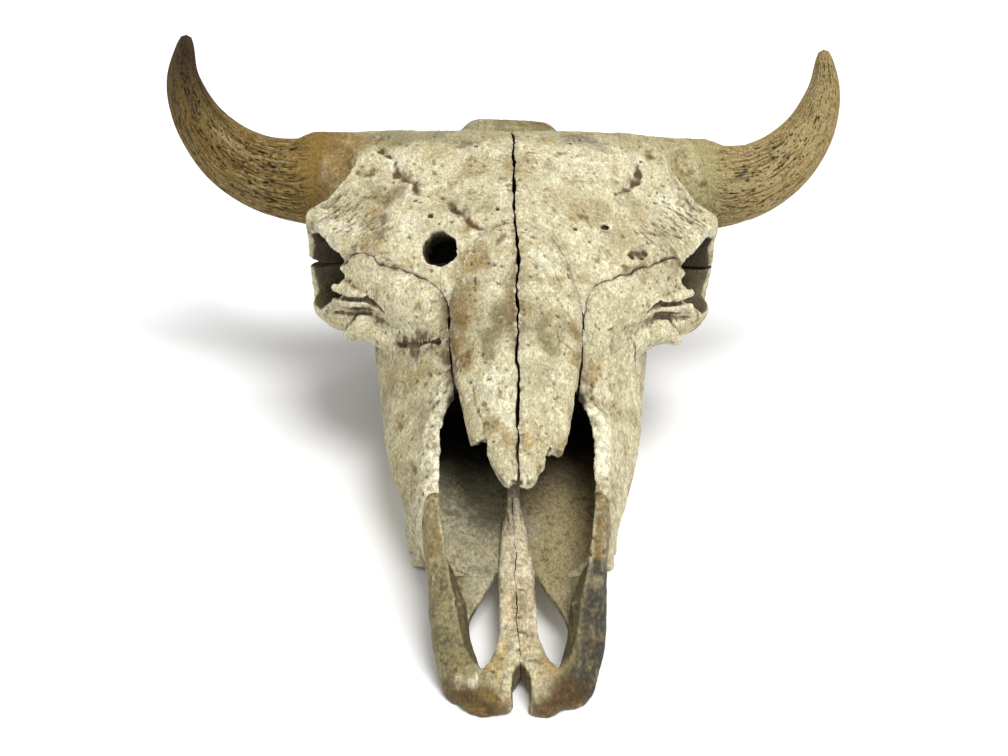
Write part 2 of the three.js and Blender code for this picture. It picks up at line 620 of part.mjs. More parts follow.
const sphenoidCell = { side: [[330, -20], [480, -20], [480, 300], [300, 300], [300, 112], [330, 96]] };

// Cheek teeth, three premolars and three molars: length along the row, width across, height of the crown
const TEETH = [[17, 14, 28], [20, 18, 30], [20, 21, 32], [26, 24, 34], [30, 26, 36], [31, 25, 37]];
const TOOTH_ROW_START = 158;
const TOOTH_ROW_X = through([158, 64], [185, 66.5], [250, 68], [306, 64]);
const TOOTH_CLEAR = 0.6; // between neighbouring crowns
const TOOTH_LOBES = [1, 1, 1, 2, 2, 2];
const LOBE_DEPTH = 0.2; // groove between a molar's two lobes
function tooth(y, [length, width, height], lobes) {
  const around = 16;
  const levels = [0, 0.25, 1, 1.35];
  const taper = [0.9, 1, 0.9, 0.7];
  const points = [];
  const faces = [];
  levels.forEach((level, row) => {
    for (let i = 0; i < around; i++) {
      const angle = (2 * Math.PI * i) / around;
      const waist = 1 - (lobes > 1 ? LOBE_DEPTH * Math.abs(Math.sin(angle)) ** 6 : 0);
      const long = Math.sign(Math.cos(angle)) * Math.abs(Math.cos(angle)) ** 0.6;
      const wide = Math.sign(Math.sin(angle)) * Math.abs(Math.sin(angle)) ** 0.7;
      points.push([
        TOOTH_ROW_X(y) - (wide * width * taper[row] * waist) / 2 - level * 2,
        y + (long * (length - TOOTH_CLEAR) * Math.min(1, taper[row] + 0.06)) / 2,
        level * height - 1,
      ]);
    }
  });
  return loftOf(points, faces, around, levels.length);
}

// Closes rings of points, listed ring after ring, into a solid with flat ends.
function loftOf(points, faces, around, rows) {
  const first = points.length;
  const mean = (from) => {
    const ring = points.slice(from, from + around);
    return [0, 1, 2].map((c) => ring.reduce((sum, p) => sum + p[c], 0) / around);
  };
  points.push(mean(0), mean((rows - 1) * around));
  for (let row = 0; row < rows; row++)
    for (let i = 0; i < around; i++) {
      const a = row * around + i;
      const b = row * around + ((i + 1) % around);
      if (row === 0) faces.push([first, b, a]);
      if (row === rows - 1) faces.push([first + 1, a, b]);
      else faces.push([a, b, b + around], [a, b + around, a + around]);
    }
  const solid = solidOf(geometryOf({ points, faces }));
  if (solid.volume() > 0) return solid;
  return solidOf(geometryOf({ points, faces: faces.map(([a, b, c]) => [a, c, b]) }));
}

// Horn cores: out from the frontal, then up, round in section with a low burr at the base
const HORN_PATH = [
  HORN_ROOT, [180, 462, 181.5], [212, 475, 184], [244, 493, 198], [264, 507, 219], [275, 521.5, 247],
  [273.5, 537, 280.5],
];
const hornRadius = through(
  [0, 36.5], [0.055, 37], [0.12, 34.8], [0.235, 32.4], [0.38, 29.2], [0.5, 26], [0.616, 22], [0.787, 15.8],
  [0.86, 12.5], [0.92, 9.6], [0.97, 7], [1, 4.5],
);
const ROOT_SHARE = through([0, 1], [0.03, 0.8], [0.13, 0]); // how much a ring follows the neck's own section
const ROOT_SEARCH = [22, 48]; // radii between which the neck's surface lies
const HORN_SPREADS = { right: 1.035, left: 0.965 }; // the animal's right core reaches further out
const HORN_LENGTHS = { right: 1, left: 0.985 };
const HORN_RINGS = 16;
const HORN_CROWDING = 1.25; // rings stand closer near the root
const HORN_AROUND = 18;
function neckRadius(centre, flank, rise, angle) {
  let [near, far] = ROOT_SEARCH;
  for (let round = 0; round < 12; round++) {
    const radius = (near + far) / 2;
    const spot = centre.clone().addScaledVector(flank, radius * Math.cos(angle));
    spot.addScaledVector(rise, radius * Math.sin(angle));
    if (skullField(spot.x, spot.y, spot.z) < 0) near = radius;
    else far = radius;
  }
  return near;
}
function hornCore(spread, reach) {
  const spreadOut = (x) => HORN_ROOT[0] + (x - HORN_ROOT[0]) * spread;
  const stations = HORN_PATH.map(([x, y, z]) => new THREE.Vector3(spreadOut(x), y, z));
  const path = new THREE.CatmullRomCurve3(stations, false, "centripetal");
  const root = new THREE.Vector3(1, HORN_ROOT_SLANT, 0).normalize();
  const acrossRoot = new THREE.Vector3(0, 1, 0).cross(root).normalize();
  const upRoot = root.clone().cross(acrossRoot);
  const neckAt = (angle) => neckRadius(new THREE.Vector3(...HORN_ROOT), acrossRoot, upRoot, angle);
  const points = [];
  for (let row = 0; row <= HORN_RINGS; row++) {
    const t = (row / HORN_RINGS) ** HORN_CROWDING * reach;
    const centre = path.getPointAt(t);
    const along = row ? path.getTangentAt(t) : root;
    if (!row) centre.addScaledVector(root, SUTURE_GAP);
    const flank = new THREE.Vector3(0, 1, 0).cross(along).normalize();
    const rise = along.clone().cross(flank);
    const share = ROOT_SHARE(t);
    for (let i = 0; i < HORN_AROUND; i++) {
      const angle = (2 * Math.PI * i) / HORN_AROUND;
      const own = hornRadius(t / reach);
      const radius = share ? own + share * (neckAt(angle) - own) : own;
      const spot = centre.clone().addScaledVector(flank, radius * Math.cos(angle));
      points.push(spot.addScaledVector(rise, radius * Math.sin(angle)).toArray());
    }
  }
  return loftOf(points, [], HORN_AROUND, HORN_RINGS + 1);
}

// The sampled half, standing on the floor
const low = [-MIDLINE_MARGIN, -6, -9];
const high = [HALF_WIDTH_LIMIT, SKULL_LENGTH + 14, HEIGHT_LIMIT];
const sampled = solidOf(geometryOf(thinned(surfaceOf(skullField, low, high, FIELD_STEP), HALF_TRIANGLES)));
const hornSide = new THREE.BoxGeometry(REACH / 2, REACH / 2, REACH / 2).translate(REACH / 4, 0, 0);
hornSide.rotateZ(Math.atan(HORN_ROOT_SLANT)).translate(...HORN_ROOT);
let rest = sampled.intersect(block([-50, -50, 0], [REACH, 700, REACH])).subtract(solidOf(hornSide));
rest = largest(rest);
function take(...cells) {
  const joined = (gap) => cells.map((c) => cell(c, gap)).reduce((a, b) => a.add(b));
  const bone = largest(rest.intersect(joined(true)));
  rest = rest.subtract(joined(false));
  return bone;
}
const bones = {
  nasal: take(nasalCell),
  premaxilla: take(muzzleCell, tongueCell),
  vomer: take(vomerCell),
  lacrimal: take(lacrimalCell),
  zygomatic: take(cheekCell),
  parietal: take(parietalCell),
  frontal: take(frontalCell),
  exoccipital: take(backCell),
  temporal: take(templeCell),
  palatine: take(palatineCell),
  sphenoid: take(sphenoidCell),
};
let rowY = TOOTH_ROW_START;
let upper = largest(rest);
TEETH.forEach((size, i) => {
  upper = upper.add(tooth(rowY + size[0] / 2, size, TOOTH_LOBES[i]));
  rowY += size[0];
});
bones.maxilla = largest(upper.intersect(block([-50, -50, 0], [REACH, 700, REACH])));

// Left and right bones, and the single ones across the middle
const BONE_COLOUR = 0xd9cba6;
const HORN_COLOUR = 0x8a6a3c;
const SINGLE = ["vomer", "parietal", "sphenoid"];
function boneMaterial(name) {
  return new THREE.MeshStandardMaterial({ name, color: BONE_COLOUR, roughness: 0.8, metalness: 0 });
}
function hornMaterial(name) {
  return new THREE.MeshStandardMaterial({ name, color: HORN_COLOUR, roughness: 0.75, metalness: 0 });
}

function mirrored(geometry) {
  const copy = geometry.clone().scale(-1, 1, 1);
  const index = [...copy.getIndex().array];
  for (let i = 0; i < index.length; i += 3) [index[i], index[i + 1]] = [index[i + 1], index[i]];
  copy.setIndex(index);
  return copy;
}
const rightOf = (solid, edge) => largest(solid.intersect(block([edge, -50, -50], [REACH, 700, REACH])));
// A single bone is its right half and the mirror image, without the two faces that meet on the middle.
function acrossMiddle(solid) {
  const half = geometryFrom(rightOf(solid, 0));
  const place = half.getAttribute("position");
  for (let i = 0; i < place.count; i++) if (Math.abs(place.getX(i)) < 1e-4) place.setX(i, 0);
  const index = half.getIndex().array;
  const kept = [];
  for (let i = 0; i < index.length; i += 3) {
    const face = [...index.slice(i, i + 3)];
    if (face.some((v) => place.getX(v) > 0)) kept.push(...face);
  }
  half.setIndex(kept);
  return largest(solidOf(mergeGeometries([half, mirrored(half)])));
}

// The round hole in the forehead of the animal's right side, into the frontal sinus
const SINUS_HOLE = [-55, 306, 185];
const SINUS_RADIUS = 13.5;
const SINUS_STRETCH = 1.2; // longer along the slope than across
const SINUS_WIDENING = 1.15; // inwards
const SINUS_DEPTH = 26;
const SINUS_LEAN = [0.35, 0.5]; // tilt to the side and to the front, in radians
function sinusHole() {
  const tube = new THREE.CylinderGeometry(SINUS_RADIUS, SINUS_RADIUS * SINUS_WIDENING, 2 * SINUS_DEPTH, 20);
  tube.rotateX(Math.PI / 2).scale(1, SINUS_STRETCH, 1);
  return solidOf(tube.rotateX(SINUS_LEAN[1]).rotateY(-SINUS_LEAN[0]).translate(...SINUS_HOLE));
}

const skull = new THREE.Group();
skull.name = "bison_skull";
function place(name, geometry, material) {
  const mesh = new THREE.Mesh(geometry, material(name));
  mesh.name = name;
  skull.add(mesh);
}
for (const [name, solid] of Object.entries(bones)) {
  if (SINGLE.includes(name)) {
    place(name, geometryFrom(acrossMiddle(solid)), boneMaterial);
    continue;
  }
  const half = geometryFrom(rightOf(solid, SUTURE_GAP / 2));
  let other = mirrored(half);
  if (name === "frontal") other = geometryFrom(largest(solidOf(other).subtract(sinusHole())));
  place(`${name}_left`, half, boneMaterial);
  place(`${name}_right`, other, boneMaterial);
}
const leftCore = geometryFrom(hornCore(HORN_SPREADS.left, HORN_LENGTHS.left));
const rightCore = geometryFrom(hornCore(HORN_SPREADS.right, HORN_LENGTHS.right));
place("horn_core_left", leftCore, hornMaterial);
place("horn_core_right", mirrored(rightCore), hornMaterial);

// The origin is on the floor under the middle of the skull's length.
const bounds = new THREE.Box3().setFromObject(skull);
const middle = bounds.getCenter(new THREE.Vector3());
for (const mesh of skull.children) {
  const centred = mesh.geometry.translate(-middle.x, -middle.y, -bounds.min.z);
  mesh.geometry = geometryFrom(largest(solidOf(geometryFrom(largest(solidOf(centred))))));
}

export default skull;
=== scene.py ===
import math

import bpy
import numpy as np
import openvdb
from mathutils import Matrix, Vector


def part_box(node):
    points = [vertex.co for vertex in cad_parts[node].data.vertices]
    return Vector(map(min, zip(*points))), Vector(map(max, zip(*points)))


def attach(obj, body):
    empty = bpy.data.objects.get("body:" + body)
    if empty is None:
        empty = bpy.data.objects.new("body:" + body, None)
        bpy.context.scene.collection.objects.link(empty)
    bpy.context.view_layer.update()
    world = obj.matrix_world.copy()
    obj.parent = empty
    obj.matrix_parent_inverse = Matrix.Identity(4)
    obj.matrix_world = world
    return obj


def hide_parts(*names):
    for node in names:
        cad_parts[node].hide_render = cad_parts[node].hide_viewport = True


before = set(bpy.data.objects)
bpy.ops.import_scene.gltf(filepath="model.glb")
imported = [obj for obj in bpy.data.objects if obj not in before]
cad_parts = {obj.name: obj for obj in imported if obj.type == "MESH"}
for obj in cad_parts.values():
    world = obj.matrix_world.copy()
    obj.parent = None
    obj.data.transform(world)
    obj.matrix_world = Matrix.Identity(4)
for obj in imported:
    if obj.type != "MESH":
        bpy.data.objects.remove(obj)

bl_info = {
    "name": "Bison skull",
    "version": (1, 0, 0),
    "blender": (4, 5, 0),
    "location": "3D View > Sidebar > Skull",
    "description": "Builds a bison skull bone by bone from one field, with horn cores, finishes and a studio",
    "category": "Add Mesh",
}

# The field below is in millimetres: x from the midline, y from the muzzle tip, z from the floor
MM = 0.001
SIDES = {"left": 1, "right": -1}


# Curves and field operations
def through(*stations):
    """A smooth curve through (position, value) stations that never overshoots them."""
    at = np.array([s[0] for s in stations], float)
    value = np.array([s[1] for s in stations], float)
    slope = np.diff(value) / np.diff(at)
    tangent = np.concatenate(([slope[0]], np.zeros(len(at) - 2), [slope[-1]]))
    for i in range(1, len(at) - 1):
        before, after = slope[i - 1], slope[i]
        if before * after > 0:
            tangent[i] = 2 * before * after / (before + after)

    def curve(p):
        q = np.clip(p, at[0], at[-1])
        i = np.clip(np.searchsorted(at, q, side="right") - 1, 0, len(at) - 2)
        span = at[i + 1] - at[i]
        t = (q - at[i]) / span
        u = 1 - t
        start = value[i] * u * u * (1 + 2 * t) + tangent[i] * span * t * u * u
        end = value[i + 1] * t * t * (3 - 2 * t) - tangent[i + 1] * span * t * t * u
        return (start + end).astype(np.float32)

    return curve


def join(a, b, blend):
    """Both fields together, filleted where they meet."""
    h = np.maximum(blend - np.abs(a - b), 0)
    return np.minimum(a, b) - h * h * np.float32(0.25 / blend)


def common(a, b, blend):
    """What lies inside both fields."""
    return -join(-a, -b, blend)


def cut(a, b, blend):
    """The first field without the second."""
    return -join(-a, b, blend)


def between(v, low, high):
    """Negative from low to high."""
    return np.maximum(low - v, v - high)


def largest_of(*fields):
    result = fields[0]
    for field in fields[1:]:
        result = np.maximum(result, field)
    return result


def ellipsoid(x, y, z, centre, radii):
    qx, qy, qz = ((v - np.float32(c)) / np.float32(r) for v, c, r in zip((x, y, z), centre, radii))
    k0 = np.sqrt(qx * qx + qy * qy + qz * qz)
    sx, sy, sz = (np.float32(1 / r) for r in radii)
    k1 = np.sqrt((qx * sx) ** 2 + (qy * sy) ** 2 + (qz * sz) ** 2) + np.float32(1e-9)
    return k0 * (k0 - 1) / k1


def bar(x, y, z, a, b, ra, rb):
    """A bar from a to b whose radius goes from ra to rb."""
    ax, ay, az = (np.float32(v) for v in a)
    ex, ey, ez = (np.float32(q - p) for p, q in zip(a, b))
    t = ((x - ax) * ex + (y - ay) * ey + (z - az) * ez) / np.float32(ex * ex + ey * ey + ez * ez)
    t = np.clip(t, 0, 1)
    away = np.sqrt((x - ax - t * ex) ** 2 + (y - ay - t * ey) ** 2 + (z - az - t * ez) ** 2)
    return away - (np.float32(ra) + t * np.float32(rb - ra))


def chain(x, y, z, points, radii, blend):
    """Bars one after the other."""
    field = None
    for a, b, ra, rb in zip(points, points[1:], radii, radii[1:]):
        piece = bar(x, y, z, a, b, ra, rb)
        field = piece if field is None else join(field, piece, blend)
    return field


def outline_distance(u, v, points):
    """Distance from a closed outline, negative inside."""
    shape = np.broadcast(u, v).shape
    best = np.full(shape, 1e6, np.float32)
    inside = np.zeros(shape, bool)
    for (au, av), (bu, bv) in zip(points, points[1:] + points[:1]):
        eu, ev = bu - au, bv - av
        t = np.clip(((u - au) * eu + (v - av) * ev) / (eu * eu + ev * ev), 0, 1)
        best = np.minimum(best, np.hypot(u - au - t * eu, v - av - t * ev))
        if ev:
            inside ^= ((av > v) != (bv > v)) & (u < eu * (v - av) / ev + au)
    return np.where(inside, -best, best)


class Noise:
    """Smooth random values from -1 to 1 on a lattice that repeats."""

    PERIOD = 64

    def __init__(self, seed):
        n = self.PERIOD
        self.table = np.random.default_rng(seed).random(n * n * n, dtype=np.float32) * 2 - 1

    def __call__(self, x, y, z, size):
        n = self.PERIOD
        low, high, ease = [], [], []
        for v in (x, y, z):
            q = np.asarray(v, np.float32) / np.float32(size)
            base = np.floor(q)
            t = q - base
            i = base.astype(np.int32) % n
            low.append(i)
            high.append((i + 1) % n)
            ease.append(t * t * (3 - 2 * t))
        total = 0
        for corner in range(8):
            pick = [(corner >> axis) & 1 for axis in range(3)]
            i, j, k = (high[a] if pick[a] else low[a] for a in range(3))
            weight = 1
            for a in range(3):
                weight = weight * (ease[a] if pick[a] else 1 - ease[a])
            total = total + weight * self.table[(i * n + j) * n + k]
        return total

    def layered(self, x, y, z, size, layers=3):
        total, share = 0, 1.0
        for layer in range(layers):
            total = total + share * self(x + 17.3 * layer, y - 9.1 * layer, z + 5.7 * layer, size / 2**layer)
            share *= 0.5
        return total / 1.75


# Roof of the skull: profile on the midline, and how it falls off to each side
roof_height = through(
    (118, 96), (160, 124), (200, 148), (250, 176), (310, 203), (350, 217), (390, 227), (430, 231.5),
    (465, 226), (492, 213), (515, 205), (534, 196),
)
roof_reach = through(
    (118, 10), (135, 22), (150, 30), (165, 35), (195, 43), (218, 47.5), (250, 50), (286, 78), (322, 127),
    (354, 146), (384, 163), (412, 142), (450, 145), (500, 118), (534, 70),
)
roof_fall = through(
    (118, 5), (135, 12), (165, 22), (218, 27), (250, 23), (286, 45), (322, 32), (354, 41), (384, 47),
    (412, 22), (450, 11), (500, 14),
)
roof_bow = through((118, 2), (250, 2), (286, 1.6), (380, 1.6), (412, 3), (450, 3), (534, 2.4))
brow_reach = through(
    (262, 50), (300, 92), (322, 127), (340, 138), (354, 146), (375, 158), (384, 163), (389, 157), (395, 147),
    (401, 137.5), (408, 130), (418, 125), (432, 130), (450, 144), (475, 140), (500, 116), (515, 96),
    (526, 74), (534, 52),
)
BROW_RIM = 11
BROW_DEPTH = 70
ROOF_ENDS = (262, 531)


def roof_top(x, y):
    return roof_height(y) - roof_fall(y) * (x / roof_reach(y)) ** roof_bow(y)


def cranial_roof(x, y, z):
    top = roof_top(x, y)
    reach = brow_reach(y)
    thick = BROW_RIM + BROW_DEPTH * np.maximum(0, 1 - (x / reach) ** 2)
    plate = common(z - top, top - thick - z, 8)
    return common(common(plate, x - reach, 4), between(y, *ROOF_ENDS), 8)


# Side wall of the face: half width at the tooth edge, at the widest level and at the upper edge
tooth_edge_reach = through(
    (0, 30), (33, 44), (60, 49), (100, 50), (130, 55), (160, 68), (200, 76), (240, 80), (286, 80), (330, 66),
)
cheek_reach = through(
    (0, 36), (33, 50), (60, 56), (100, 58.5), (120, 61), (150, 71), (181, 80), (210, 89), (240, 95),
    (286, 101), (330, 108),
)
upper_reach = through(
    (0, 30), (33, 46), (65, 53), (100, 57), (130, 60), (182, 61), (215, 53), (250, 52), (286, 60), (330, 84),
)
tooth_edge_level = through(
    (0, -1), (33, 3), (60, 9), (100, 16), (130, 22), (160, 28), (200, 32), (286, 34), (330, 44),
)
cheek_level = through(
    (0, 6), (33, 15), (60, 27), (100, 35), (150, 45), (200, 55), (240, 62), (286, 74), (330, 90),
)
upper_level = through(
    (0, 12), (33, 20), (50, 33), (75, 46), (100, 58), (150, 80), (185, 101), (215, 120),
    (250, 152), (286, 162), (330, 170),
)
opening_rim = through(
    (0, 12), (33, 20), (50, 33), (75, 46), (100, 58), (125, 68), (150, 80), (185, 101), (215, 120),
    (250, 150),
)
opening_share = through((196, 0), (238, 1))
wall_thickness = through((33, 13), (60, 12), (100, 11), (150, 9), (215, 9), (260, 11))
floor_level = through((33, 16), (60, 19), (100, 26), (130, 31), (160, 40), (200, 46), (250, 54))
NASAL_THICKNESS = 7.5
CAVITY_END = 292
FACE_FRONT = 20
FACE_END = 318
FACE_END_SLANT = 0.25
PALATE_VAULT = 7


def face_reach(y, z):
    low, mid, high = tooth_edge_level(y), cheek_level(y), upper_level(y)
    below = np.maximum(-0.4, (z - mid) / (low - mid))
    above = (z - mid) / (high - mid)
    lower = cheek_reach(y) + (tooth_edge_reach(y) - cheek_reach(y)) * below * below
    upper = cheek_reach(y) + (upper_reach(y) - cheek_reach(y)) * (0.35 * above + 0.65 * above * above)
    return np.where(z < mid, lower, upper).astype(np.float32)


def face(x, y, z):
    share = opening_share(y)
    lid = (1 - share) * opening_rim(y) + np.where(share > 0, share * roof_top(x, y), 0)
    reach = face_reach(y, z)
    outer = common(x - reach, z - lid, 5)
    vault = PALATE_VAULT * np.maximum(0, 1 - (x / tooth_edge_reach(y)) ** 2) * np.minimum(1, y / 120)
    body = common(outer, tooth_edge_level(y) + vault - z, 6)
    body = common(body, np.maximum(FACE_FRONT - y, y - FACE_END - FACE_END_SLANT * (z - 34)), 6)
    ceiling = lid - NASAL_THICKNESS * share + 30 * (1 - share)
    inner = common(x - reach + wall_thickness(y), z - ceiling, 10)
    cavity = common(common(inner, floor_level(y) - z, 10), y - CAVITY_END, 16)
    return cut(body, cavity, 2)


# Nasal bones: the thin roof over the opening
nasal_reach = through(
    (122, 6), (128, 11), (139, 17), (150, 22), (153, 28), (162, 31.5), (169, 33.5), (195, 39.5), (218, 45),
    (240, 48), (264, 49), (283, 43), (298, 33), (309, 21), (314, 4),
)
NASAL_ENDS = (122, 310)


def nasal_roof(x, y, z):
    top = roof_top(x, y)
    plate = common(z - top, top - NASAL_THICKNESS - z, 3)
    return common(common(plate, x - nasal_reach(y), 3), between(y, *NASAL_ENDS), 3)


# Premaxilla: front plate, its tongue along the middle, and the open fissures
plate_reach = through((0, 17), (4, 30), (9, 37.5), (15, 41.5), (22, 45), (30, 48.5), (50, 53))
plate_top = through((0, 9), (10, 13), (20, 16), (35, 20), (50, 24))
tongue_reach = through((20, 30), (33, 22), (50, 15), (75, 12), (112, 11), (144, 8.5), (166, 5.5))
tongue_top = through((20, 16), (56, 21), (75, 24), (112, 33), (144, 43), (166, 51))
TONGUE_THICKNESS = 14
TONGUE_ENDS = (20, 167)
PLATE_ENDS = (0, 36)
FISSURE_ENDS = (31, 120)
FISSURE_TOP = 60
NOTCH_END = 33
fissure_outer = through(
    (31, 23.7), (40, 27.8), (50, 31), (60, 32.6), (70, 33.1), (80, 31), (90, 26.6), (100, 21),
    (110, 16.5), (120, 13),
)
fissure_inner = through((31, 23.7), (40, 19.7), (50, 16.4), (60, 13.8), (70, 12.3), (90, 12.4), (120, 12.8))
notch_reach = through((-2, 3.4), (8, 5), (20, 3), (33, 0.2))


def muzzle_plate(x, y, z):
    level = common(z - plate_top(y), tooth_edge_level(y) - z, 4)
    plate = common(common(level, x - plate_reach(y), 6), between(y, *PLATE_ENDS), 5)
    strip = common(z - tongue_top(y), tongue_top(y) - TONGUE_THICKNESS - z, 3)
    tongue = common(strip, x - tongue_reach(y), 3)
    return join(plate, common(tongue, between(y, *TONGUE_ENDS), 2), 5)


def muzzle_gaps(x, y, z):
    width = between(x, fissure_inner(y), fissure_outer(y))
    fissure = largest_of(width, between(y, *FISSURE_ENDS), z - FISSURE_TOP)
    return np.minimum(fissure, np.maximum(x - notch_reach(y), y - NOTCH_END))


vomer_top = through((150, 48), (180, 62), (230, 84), (290, 100))
VOMER_HALF = 4.5
VOMER_ENDS = (150, 300)


def vomer_keel(x, y, z):
    keel = common(z - vomer_top(y), floor_level(y) - 4 - z, 4)
    return common(common(keel, x - VOMER_HALF, 3), between(y, *VOMER_ENDS), 4)


# Eye socket: a rim ring that faces sideways and a little forward, with a deep hollow behind it
EYE_CENTRE = (140.5, 354, 141.5)
EYE_TURN = math.radians(21)
EYE_RING = 36.5
EYE_RIM = 5.5
EYE_HOLLOW = [(-6, 2, -1), (62, 32, 26)]


def eye_frame(x, y, z):
    dx, dy = x - EYE_CENTRE[0], y - EYE_CENTRE[1]
    out = dx * math.cos(EYE_TURN) - dy * math.sin(EYE_TURN)
    across = dx * math.sin(EYE_TURN) + dy * math.cos(EYE_TURN)
    return out.astype(np.float32), across.astype(np.float32), z - np.float32(EYE_CENTRE[2])


def eye_rim(x, y, z):
    out, across, up = eye_frame(x, y, z)
    ring = np.sqrt(out * out + (np.sqrt(across * across + up * up) - EYE_RING) ** 2) - EYE_RIM
    return common(ring, z - roof_top(x, y), 2)


def eye_hollow(x, y, z):
    out, across, up = eye_frame(x, y, z)
    return ellipsoid(out, across, up, *EYE_HOLLOW)


# Behind the eye a plate stands between brow and cheek, and under the eye the cheek bone has a knob
BAR_PLATE = [(149, 391, 178), (147, 388, 104)]
BAR_RADII = (8, 7)
BAR_STRETCH = 2.0
CHEEK_KNOB = [(114, 300, 124), (125, 304, 115)]
CHEEK_KNOB_RADII = (9, 5)


def bar_plate(x, y, z):
    ends = [(px / BAR_STRETCH, py, pz) for px, py, pz in BAR_PLATE]
    return bar(x / BAR_STRETCH, y, z, *ends, *BAR_RADII)


# Cheek arch, horn roots, braincase and base
ARCH = [(84, 288, 116), (138, 332, 124), (148, 362, 115), (131, 402, 84), (112, 432, 90)]
ARCH_RADII = [10, 10, 9, 10, 13]
ARCH_STRETCH = 1.2
HORN_ROOT = (152, 455, 184)
HORN_ROOT_SLANT = 0.3
back_reach = through((30, 52), (70, 96), (100, 121), (140, 112), (180, 84), (203, 46), (218, 35))
back_place = through((40, 492), (120, 498), (216, 512))
BACK_HALF = 15
BACK_LEVELS = (56, 218)
# Swellings: centre and radii
VAULT = [(0, 448, 128), (80, 100, 74)]
BETWEEN_EYES = [(0, 348, 136), (66, 80, 64)]
JAW_JOINT = [(96, 432, 94), (38, 24, 15)]
MASTOID = [(100, 480, 104), (20, 26, 40)]
CONDYLE = [(34, 528, 84), (27, 20, 31)]
EAR_CAPSULE = [(48, 466, 58), (15, 24, 20)]
SPINE_HOLE = [(0, 540, 104), (19, 44, 18)]
# Bars: both ends and the radius at each
HORN_NECK = [(96, 448, 187), (190, 470, 183), 37, 35]
NECK_FRONT = [(114, 434, 190), (152, 456, 184), 24, 34]
SKULL_BASE = [(0, 522, 84), (0, 335, 96), 28, 24]
NECK_PROCESS = [(78, 496, 92), (68, 503, 2), 20, 8]
EYE_BUTTRESS = [(62, 297, 144), (109, 330, 149), 30, 23]
EAR_HOLE = [(128, 462, 104), (95, 462, 108), 7, 6]
# Wings behind the palate: where they stand, half their thickness, their middle and half length, their edge
WING_RISE = 0.42
WING_EDGE = 38
WING_TOP = 100
WING_PLACE = (31, 340)
WING_SLANT = 0.05
WING_HALF = 5.5
WING_SPAN = (344, 44)


def horn_root_side(x, y):
    return (x - HORN_ROOT[0] + HORN_ROOT_SLANT * (y - HORN_ROOT[1])).astype(np.float32)


def cheek_arch(x, y, z):
    squashed = [(px, py, pz / ARCH_STRETCH) for px, py, pz in ARCH]
    return chain(x, y, z / np.float32(ARCH_STRETCH), squashed, ARCH_RADII, 8)


def braincase(x, y, z):
    vault = ellipsoid(x, y, z, *VAULT)
    middle = ellipsoid(x, y, z, *BETWEEN_EYES)
    back = common(np.abs(y - back_place(z)) - BACK_HALF, x - back_reach(z), 14)
    back = common(back, between(z, *BACK_LEVELS), 8)
    neck = join(bar(x, y, z, *HORN_NECK), bar(x, y, z, *NECK_FRONT), 10)
    pedicle = common(neck, horn_root_side(x, y) - 3, 3)
    joint = join(ellipsoid(x, y, z, *JAW_JOINT), ellipsoid(x, y, z, *MASTOID), 12)
    upper = join(join(vault, middle, 30), join(back, pedicle, 12), 22)
    return join(upper, join(joint, bar(x, y, z, *SKULL_BASE), 14), 16)


def underside(x, y, z):
    condyle = ellipsoid(x, y, z, *CONDYLE)
    process = bar(x, y, z, *NECK_PROCESS)
    capsule = ellipsoid(x, y, z, *EAR_CAPSULE)
    edge = np.maximum(WING_EDGE, WING_EDGE + WING_RISE * (y - 322))
    plate = np.abs(x - WING_PLACE[0] - (y - WING_PLACE[1]) * WING_SLANT) - WING_HALF
    plate = np.maximum(plate, np.abs(y - WING_SPAN[0]) - WING_SPAN[1])
    wing = common(plate, between(z, edge, WING_TOP), 6)
    return join(join(condyle, process, 8), join(capsule, wing, 4), 6)


def skull_field(x, y, z):
    """Negative inside bone; x is the distance from the midline."""
    field = np.minimum(np.minimum(cranial_roof(x, y, z), face(x, y, z)), nasal_roof(x, y, z))
    field = join(field, braincase(x, y, z), 12)
    field = join(field, bar(x, y, z, *EYE_BUTTRESS), 14)
    field = join(field, join(cheek_arch(x, y, z), eye_rim(x, y, z), 12), 8)
    field = join(field, bar(x, y, z, *CHEEK_KNOB, *CHEEK_KNOB_RADII), 8)
    field = cut(field, eye_hollow(x, y, z), 4)
    field = join(field, bar_plate(x, y, z), 8)
    field = join(field, underside(x, y, z), 10)
    field = join(field, np.minimum(muzzle_plate(x, y, z), vomer_keel(x, y, z)), 4)
    field = cut(field, muzzle_gaps(x, y, z), 1.5)
    field = cut(field, ellipsoid(x, y, z, *SPINE_HOLE), 4)
    return cut(field, bar(x, y, z, *EAR_HOLE), 3).astype(np.float32)


# Cheek teeth: length along the row, width across and crown height
TEETH = [(17, 14, 28), (20, 18, 30), (20, 21, 32), (26, 24, 34), (30, 26, 36), (31, 25, 37)]
TOOTH_ROW_START = 158
CUSP_HEIGHT = 4.5
tooth_row_x = through((158, 64), (185, 66.5), (250, 68), (306, 64))


